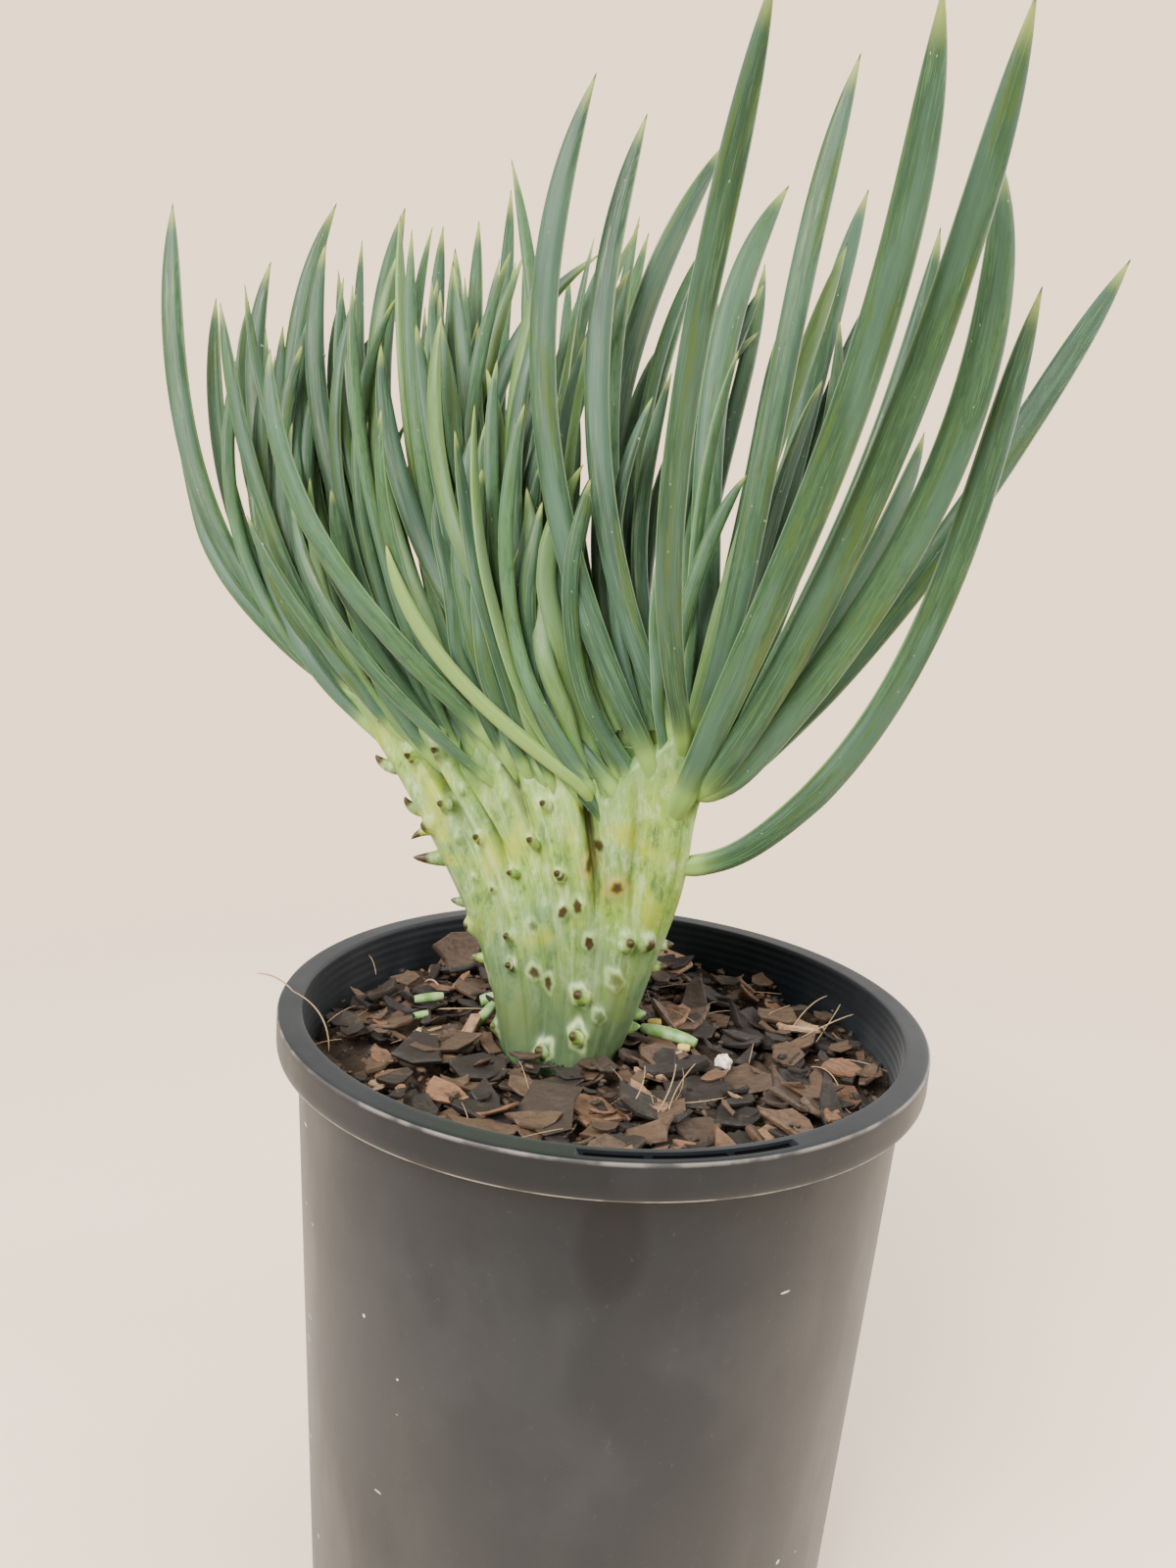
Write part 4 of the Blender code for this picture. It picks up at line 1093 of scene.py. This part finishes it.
def flakeFinish():
    # Each flake takes one tone from dark brown to tan by its own number, with a rough grain.
    made, tree, shader = newMaterial("barkFlakes")
    kind = attribute(tree, "flakeKind")
    coordinates = objectCoordinates(tree)
    grain = noise(tree, coordinates, (420, 900, 900), 5, 0.7)
    colour = blend(tree, remap(tree, kind, 0.10, 0.45), mix["dark"], mix["brown"])
    colour = layered(tree, colour, kind, 0.66, 0.90, 1.0, mix["red"])
    colour = layered(tree, colour, kind, 0.90, 0.99, 1.0, mix["tan"])
    colour = layered(tree, colour, grain, 0.42, 0.70, 0.55, (0.014, 0.009, 0.006))
    dusty = noise(tree, coordinates, 260, 3)
    colour = layered(tree, colour, dusty, 0.56, 0.74, 0.15, (0.21, 0.14, 0.085))
    feed(tree, shader.inputs["Base Color"], colour)
    feed(tree, shader.inputs["Roughness"], remap(tree, grain, 0.3, 0.7, 0.55, 0.9))
    feed(tree, shader.inputs["Normal"], bumped(tree, grain, 0.5, 0.0006))
    return made


def spread(count, inner, outer):
    # Places scattered evenly over the ring between the stem's foot and the wall.
    turn = dice.uniform(0, 2 * np.pi, count)
    r = np.sqrt(dice.uniform(inner**2, outer**2, count))
    return r * np.cos(turn), r * np.sin(turn)


def spins(turn, tilt, way):
    # Turns about the upright axis after a tilt towards way.
    cosT, sinT = np.cos(tilt), np.sin(tilt)
    axis = np.stack([np.cos(way), np.sin(way), 0 * way], axis=1)
    cross = np.zeros((len(turn), 3, 3))
    cross[:, 0, 2], cross[:, 1, 2] = axis[:, 1], -axis[:, 0]
    cross[:, 2, 0], cross[:, 2, 1] = -axis[:, 1], axis[:, 0]
    lean = np.eye(3) + sinT[:, None, None] * cross + (1 - cosT)[:, None, None] * cross @ cross
    spin = np.zeros((len(turn), 3, 3))
    spin[:, 0, 0] = spin[:, 1, 1] = np.cos(turn)
    spin[:, 0, 1], spin[:, 1, 0] = -np.sin(turn), np.sin(turn)
    spin[:, 2, 2] = 1
    return lean @ spin


def flakeShapes(name, x, y, z, size, wide, thick, turn, tilt, way, kind, finish):
    # Bark flakes: a many-cornered outline, plate-thick, slightly cupped, tilted as it fell.
    count, corners = len(x), 8
    angle = np.linspace(0, 2 * np.pi, corners, endpoint=False)[None, :]
    angle = angle + dice.uniform(-0.34, 0.34, (count, corners))
    reach = dice.uniform(0.60, 1.15, (count, corners))
    outline = np.stack([reach * np.cos(angle), reach * np.sin(angle) * wide[:, None]], axis=-1)
    outline = outline * size[:, None, None] / 2
    layers = []
    for grow, lift in ((0.80, -0.5), (0.97, -0.28), (1.0, 0.1), (0.90, 0.45), (0.45, 0.5)):
        flat = outline * grow
        cup = (flat**2).sum(axis=-1) / (size[:, None] + 1e-9) * 0.5
        rough = dice.normal(0, 0.10, (count, corners)) * thick[:, None]
        layers.append(np.concatenate([flat, (lift * thick[:, None] + cup + rough)[..., None]], axis=-1))
    points = np.stack(layers, axis=1)
    matrix = spins(turn, tilt, way)
    points = np.einsum("nij,nkcj->nkci", matrix, points)
    points += np.stack([x, y, z], axis=1)[:, None, None, :]
    parts = [(points[index], {"flakeKind": np.full((5, corners), kind[index])}) for index in range(count)]
    made = joined(name, parts)
    made.data.set_sharp_from_angle(angle=math.radians(35))
    made.data.materials.append(finish)
    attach(made, "root")
    return made


def buildFlakes():
    # Flakes scattered over the mix, largest lowest, cut down in size near the wall and the stem,
    # then small six-sided crumbs, then the larger chips at their own places.
    finish = flakeFinish()
    count = mix["flakes"]
    x, y = spread(count, 0.004, innerRadius(level) - 0.004)
    keep = ((x - body["stemBase"][0]) / 0.0155) ** 2 + ((y - body["stemBase"][1]) / 0.0135) ** 2 > 1
    x, y = x[keep], y[keep]
    count = len(x)
    size = np.clip(dice.gamma(3.4, 0.0028, count), 0.0035, 0.0165)
    room = innerRadius(level) - 0.0008 - np.hypot(x, y)
    size = np.minimum(size, 2 * np.clip(room, 0.0015, 1))
    foot = np.hypot((x - body["stemBase"][0]) / 1.15, y - body["stemBase"][1]) - 0.0125
    size = np.where(foot < 0.006, np.minimum(size, 0.007 + np.clip(foot, 0, 1)), size)
    order = np.argsort(-size)
    x, y, size = x[order], y[order], size[order]
    z = level - 0.0006 + dice.uniform(0, 0.0038, count) + np.linspace(0, 0.0008, count)
    made = flakeShapes(
        "barkFlakes",
        x,
        y,
        z,
        size,
        dice.uniform(0.24, 0.85, count),
        np.clip(size * dice.uniform(0.06, 0.14, count), 0.0005, 0.0016),
        dice.uniform(0, 2 * np.pi, count),
        np.abs(dice.normal(0, 0.32, count)),
        dice.uniform(0, 2 * np.pi, count),
        dice.uniform(0, 1, count) ** 1.7,
        finish,
    )
    count = mix["crumbs"]
    x, y = spread(count, 0.010, innerRadius(level) - 0.0016)
    size = dice.uniform(0.0007, 0.0026, count)
    sides = 6
    angle = np.linspace(0, 2 * np.pi, sides, endpoint=False)
    layers = []
    for grow, lift in ((0.6, -0.4), (1.0, 0.0), (0.55, 0.4)):
        ring = np.stack([grow * np.cos(angle), grow * np.sin(angle), lift + 0 * angle], axis=-1)
        layers.append(ring)
    shape = np.stack(layers)[None] * size[:, None, None, None] / 2
    shape = shape * dice.uniform(0.5, 1.4, (count, 1, sides, 1))
    matrix = spins(dice.uniform(0, 6, count), dice.uniform(0, 1.2, count), dice.uniform(0, 6, count))
    shape = np.einsum("nij,nkcj->nkci", matrix, shape)
    z = level + dice.uniform(-0.0006, 0.0026, count)
    shape += np.stack([x, y, z], axis=1)[:, None, None, :]
    kinds = dice.uniform(0, 0.5, count)
    made = joined("crumbs", [(shape[i], {"flakeKind": np.full((3, sides), kinds[i])}) for i in range(count)])
    made.data.materials.append(finish)
    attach(made, "root")
    for index, row in enumerate(mix["chips"]):
        one = [np.array([value]) for value in row]
        made = flakeShapes(
            f"largeChip{index + 1}",
            one[0] * mm,
            one[1] * mm,
            level + one[2] * mm,
            one[3] * mm,
            one[4],
            one[5] * mm,
            np.radians(one[6]),
            np.radians(one[7]),
            np.radians(one[8]),
            one[9],
            finish,
        )
        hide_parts(f"bark_chip_{index + 1}")
    print("flakes made")


def arcTube(start, end, lift, radius, bend=(0.0, 0.0), rings=14, sides=6, taper=0.3):
    # A thin tube along an arc between two points, lifted and bent at its middle.
    share = np.linspace(0, 1, rings)[:, None]
    arc = (4 * share * (1 - share)) * np.array([bend[0], bend[1], lift])
    line = np.asarray(start) * (1 - share) + np.asarray(end) * share + arc
    half = radius * (1 - taper * np.abs(2 * share - 1) ** 3)
    return line[:, None] + half[:, None] * unitRings(line, (0.13, 0.31, 0.94), sides)


def overMix(place):
    # A place given in mm, its height counted from the mix level.
    return np.array(place) * mm + np.array([0, 0, level])


# Straws: start and end in mm over the mix, lift and radius in mm, bend in mm.
straws = {
    "thickness": 0.7,
    "rows": (
        ((-75, -8, 15.0), (-66, -12, 13.2), 0.6, 0.24, (0, 1)),
        ((-66, -12, 13.2), (-56, -20, 4.0), 1.5, 0.22, (2, 0)),
        ((-66, 33, 4.0), (-55, 20, 6.0), 3.0, 0.14, (1, 2)),
        ((6, -33, 2.5), (9, -30, 11.0), 0.0, 0.20, (1, 0)),
        ((11, -36, 2.5), (15, -30, 12.0), 0.0, 0.22, (1, 1)),
        ((14, -34, 2.5), (19, -27, 11.0), 0.0, 0.18, (-1, 0)),
        ((44, 14, 3.0), (53, 22, 9.0), 1.0, 0.20, (0, 1)),
        ((46, 10, 3.0), (58, 14, 8.0), 1.0, 0.20, (1, 0)),
        ((49, 8, 3.0), (56, 20, 8.0), 1.0, 0.18, (1, 1)),
        ((-44, 25, 3.0), (-39, 14, 7.0), 1.0, 0.35, (0, 0)),
        ((-40, 6, 4.0), (-27, 8, 4.5), 0.6, 0.22, (0, -1)),
        ((5, 16, 3.0), (22, 10, 4.0), 2.0, 0.18, (0, 2)),
    ),
}


def buildFibres():
    # Thin arcs lying at random over the mix, none past the wall, and the straws that can be told apart.
    parts = []
    x, y = spread(mix["fibres"], 0.022, innerRadius(level) - 0.006)
    for index in range(mix["fibres"]):
        length = dice.uniform(0.006, 0.018)
        turn = dice.uniform(0, 2 * np.pi)
        way = np.array([math.cos(turn), math.sin(turn)]) * length
        end = np.array([x[index] + way[0], y[index] + way[1]])
        limit = innerRadius(level) - 0.001
        end = end * min(1.0, limit / np.hypot(*end))
        low = level + dice.uniform(0.0015, 0.003)
        start = (x[index], y[index], low)
        lift = dice.uniform(0, 0.0012)
        bend = dice.uniform(-0.0015, 0.0015, 2)
        end = (*end, low + dice.uniform(-0.001, 0.004))
        parts.append((arcTube(start, end, lift, dice.uniform(0.00005, 0.00012), bend), {}))
    for start, end, lift, radius, bend in straws["rows"]:
        bend = np.array(bend) * mm
        radius = straws["thickness"] * radius * mm
        parts.append((arcTube(overMix(start), overMix(end), lift * mm, radius, bend), {}))
    made = joined("fibres", parts)
    finish, tree, shader = newMaterial("fibre")
    shade = noise(tree, objectCoordinates(tree), 400, 2)
    feed(tree, shader.inputs["Base Color"], blend(tree, shade, (0.16, 0.10, 0.05), (0.46, 0.33, 0.19)))
    shader.inputs["Roughness"].default_value = 0.75
    made.data.materials.append(finish)
    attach(made, "root")
    print("fibres made")


# Leaf bits: start and end in mm over the mix, radius and lift in mm. The grain: its centre and radius.
bits = {
    "fallen": ((9.0, 4.4, 4.4), (21.0, -0.8, 4.0), 1.45, 0.5),
    "cut": (
        ((-44, 11, 4.2), (-37.5, 13, 4.8), 1.1),
        ((-28.5, 1.5, 3.0), (-25.0, 6.5, 6.5), 1.2),
        ((-43, 2.5, 3.4), (-39.5, 4, 4.0), 0.9),
        ((-29, 15, 3.5), (-23, 17, 4.5), 1.6),
        ((6.5, 11, 4.0), (8.5, 9, 5.5), 1.2),
    ),
    "yellow": (
        ((10.5, 7.6, 4.5), (13.5, 7.0, 5.2), 1.0),
        ((17.0, -3.4, 4.0), (19.5, -4.0, 4.2), 0.9),
    ),
    "grain": (0.0265, -0.0088, 0.0036),
    "grainRadius": 0.0018,
}


def buildBits():
    # Cut and fallen leaf bits, each a short bent tube with a flat end, and the perlite grain.
    finish, tree, shader = newMaterial("leafBits")
    coordinates = objectCoordinates(tree)
    tone = noise(tree, coordinates, 260, 3)
    colour = blend(tree, remap(tree, tone, 0.35, 0.65), (0.11, 0.25, 0.055), (0.30, 0.44, 0.19))
    feed(tree, shader.inputs["Base Color"], colour)
    shader.inputs["Roughness"].default_value = 0.5

    def bit(start, end, radius, lift=0.0, rings=16, sides=14):
        shape = arcTube(overMix(start), overMix(end), lift * mm, radius * mm, (0, 0), rings, sides, 0.25)
        return shape, {}

    made = joined("fallenLeaf", [bit(*bits["fallen"])])
    made.data.materials.append(finish)
    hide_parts("fallen_leaf")
    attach(made, "root")
    made = joined("leafBits", [bit(*row) for row in bits["cut"]])
    made.data.materials.append(finish)
    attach(made, "root")
    yellow = joined("yellowBits", [bit(*row) for row in bits["yellow"]])
    gold, tree, shader = newMaterial("yellowBits")
    shader.inputs["Base Color"].default_value = (0.50, 0.36, 0.09, 1)
    yellow.data.materials.append(gold)
    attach(yellow, "root")
    turn = np.linspace(0, 2 * np.pi, 20, endpoint=False)[None, :]
    tilt = np.linspace(-1.45, 1.45, 14)[:, None]
    lump = 1 + 0.10 * np.sin(3 * turn + 5 * tilt) + 0.08 * np.cos(5 * turn - 3 * tilt)
    radius = bits["grainRadius"] * lump
    east, north, lift = bits["grain"]
    x, y, z = (np.cos(tilt) * np.cos(turn), np.cos(tilt) * np.sin(turn), np.sin(tilt) + 0 * turn)
    grain = np.stack([east + radius * x, north + radius * y, level + lift + radius * z], axis=-1)
    made = joined("perliteGrain", [(grain, {})])
    white, tree, shader = newMaterial("perlite")
    spots = noise(tree, objectCoordinates(tree), 900, 4)
    stained = blend(tree, remap(tree, spots, 0.45, 0.65), (0.80, 0.76, 0.68), (0.48, 0.38, 0.27))
    feed(tree, shader.inputs["Base Color"], stained)
    shader.inputs["Roughness"].default_value = 0.9
    made.data.materials.append(white)
    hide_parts("perlite_grain")
    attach(made, "root")
    print("bits made")


view = {"yaw": -1.60, "pitch": 11.25, "roll": 4.03, "place": (0.0, -0.246, level + 0.1094), "lens": 27.0}
light = {
    "world": 1.0,
    "worldColour": (1.0, 0.95, 0.90),
    "wall": 2.45,
    "wallColour": (1.0, 0.738, 0.515),
    "key": 36.0,
    "fill": 12.0,
    "rear": 7.0,
    "glow": 0.24,
    "fade": (0.20, 0.62),
}


def buildSetting():
    # A plain pale wall and floor, three soft lamps and the camera.
    world = bpy.data.worlds.new("studio")
    bpy.context.scene.world = world
    world.use_nodes = True
    tree = world.node_tree
    back = tree.nodes["Background"]
    seen = tree.nodes.new("ShaderNodeLightPath").outputs["Is Camera Ray"]
    feed(tree, back.inputs[0], blend(tree, seen, light["worldColour"], light["wallColour"]))
    feed(tree, back.inputs[1], remap(tree, seen, 0.0, 1.0, light["world"], light["wall"]))
    half = 3.0
    corners = [(-half, -half, -0.0002), (half, -half, -0.0002), (half, half, -0.0002), (-half, half, -0.0002)]
    floor = meshFrom("floor", corners, [(0, 1, 2, 3)])
    finish, tree, shader = newMaterial("floor")
    tone = noise(tree, objectCoordinates(tree), 14, 4)
    feed(tree, shader.inputs["Base Color"], blend(tree, tone, (0.93, 0.76, 0.58), (0.97, 0.81, 0.64)))
    shader.inputs["Roughness"].default_value = 0.7
    shader.inputs["Emission Color"].default_value = (*light["wallColour"], 1)
    shader.inputs["Emission Strength"].default_value = light["glow"]
    far = tree.nodes.new("ShaderNodeEmission")
    far.inputs[0].default_value = (*light["wallColour"], 1)
    seen = tree.nodes.new("ShaderNodeLightPath").outputs["Is Camera Ray"]
    feed(tree, far.inputs[1], remap(tree, seen, 0.0, 1.0, 1.1, light["wall"]))
    east, north, _ = parts3(tree, objectCoordinates(tree))
    apart = maths(tree, "ADD", maths(tree, "MULTIPLY", east, east), maths(tree, "MULTIPLY", north, north))
    both = tree.nodes.new("ShaderNodeMixShader")
    feed(tree, both.inputs[0], remap(tree, maths(tree, "SQRT", apart), *light["fade"]))
    tree.links.new(shader.outputs[0], both.inputs[1])
    tree.links.new(far.outputs[0], both.inputs[2])
    tree.links.new(both.outputs[0], tree.nodes["Material Output"].inputs[0])
    floor.data.materials.append(finish)
    for name, place, size, power in (
        ("key", (-0.55, -0.75, 0.95), 0.7, light["key"]),
        ("fill", (0.9, -0.4, 0.7), 0.9, light["fill"]),
        ("rear", (0.8, 0.6, 0.45), 0.8, light["rear"]),
    ):
        lamp = bpy.data.lights.new(name, "AREA")
        lamp.size = size
        lamp.energy = power
        lamp.color = (1.0, 0.97, 0.93)
        item = bpy.data.objects.new(name, lamp)
        item.location = place
        item.rotation_mode = "QUATERNION"
        item.rotation_quaternion = (Vector((0, 0, 0.15)) - Vector(place)).to_track_quat("-Z", "Y")
        bpy.context.scene.collection.objects.link(item)
    yaw, pitch, roll = (math.radians(view[key]) for key in ("yaw", "pitch", "roll"))
    ahead = Vector((math.sin(yaw) * math.cos(pitch), math.cos(yaw) * math.cos(pitch), -math.sin(pitch)))
    right = Vector((math.cos(yaw), -math.sin(yaw), 0))
    upward = right.cross(ahead)
    turnedRight = right * math.cos(roll) + upward * math.sin(roll)
    turnedUp = upward * math.cos(roll) - right * math.sin(roll)
    lens = bpy.data.cameras.new("camera")
    lens.lens = view["lens"]
    lens.sensor_width = 36
    lens.clip_start = 0.01
    camera = bpy.data.objects.new("camera", lens)
    rotation = Matrix((turnedRight, turnedUp, -ahead)).transposed().to_4x4()
    camera.matrix_world = Matrix.Translation(view["place"]) @ rotation
    bpy.context.scene.collection.objects.link(camera)
    bpy.context.scene.camera = camera


buildPot()
buildMix()
buildFlakes()
buildFibres()
buildBits()
buildStubs(buildStem())
buildLeaves(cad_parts["crested_stem"])
buildSetting()
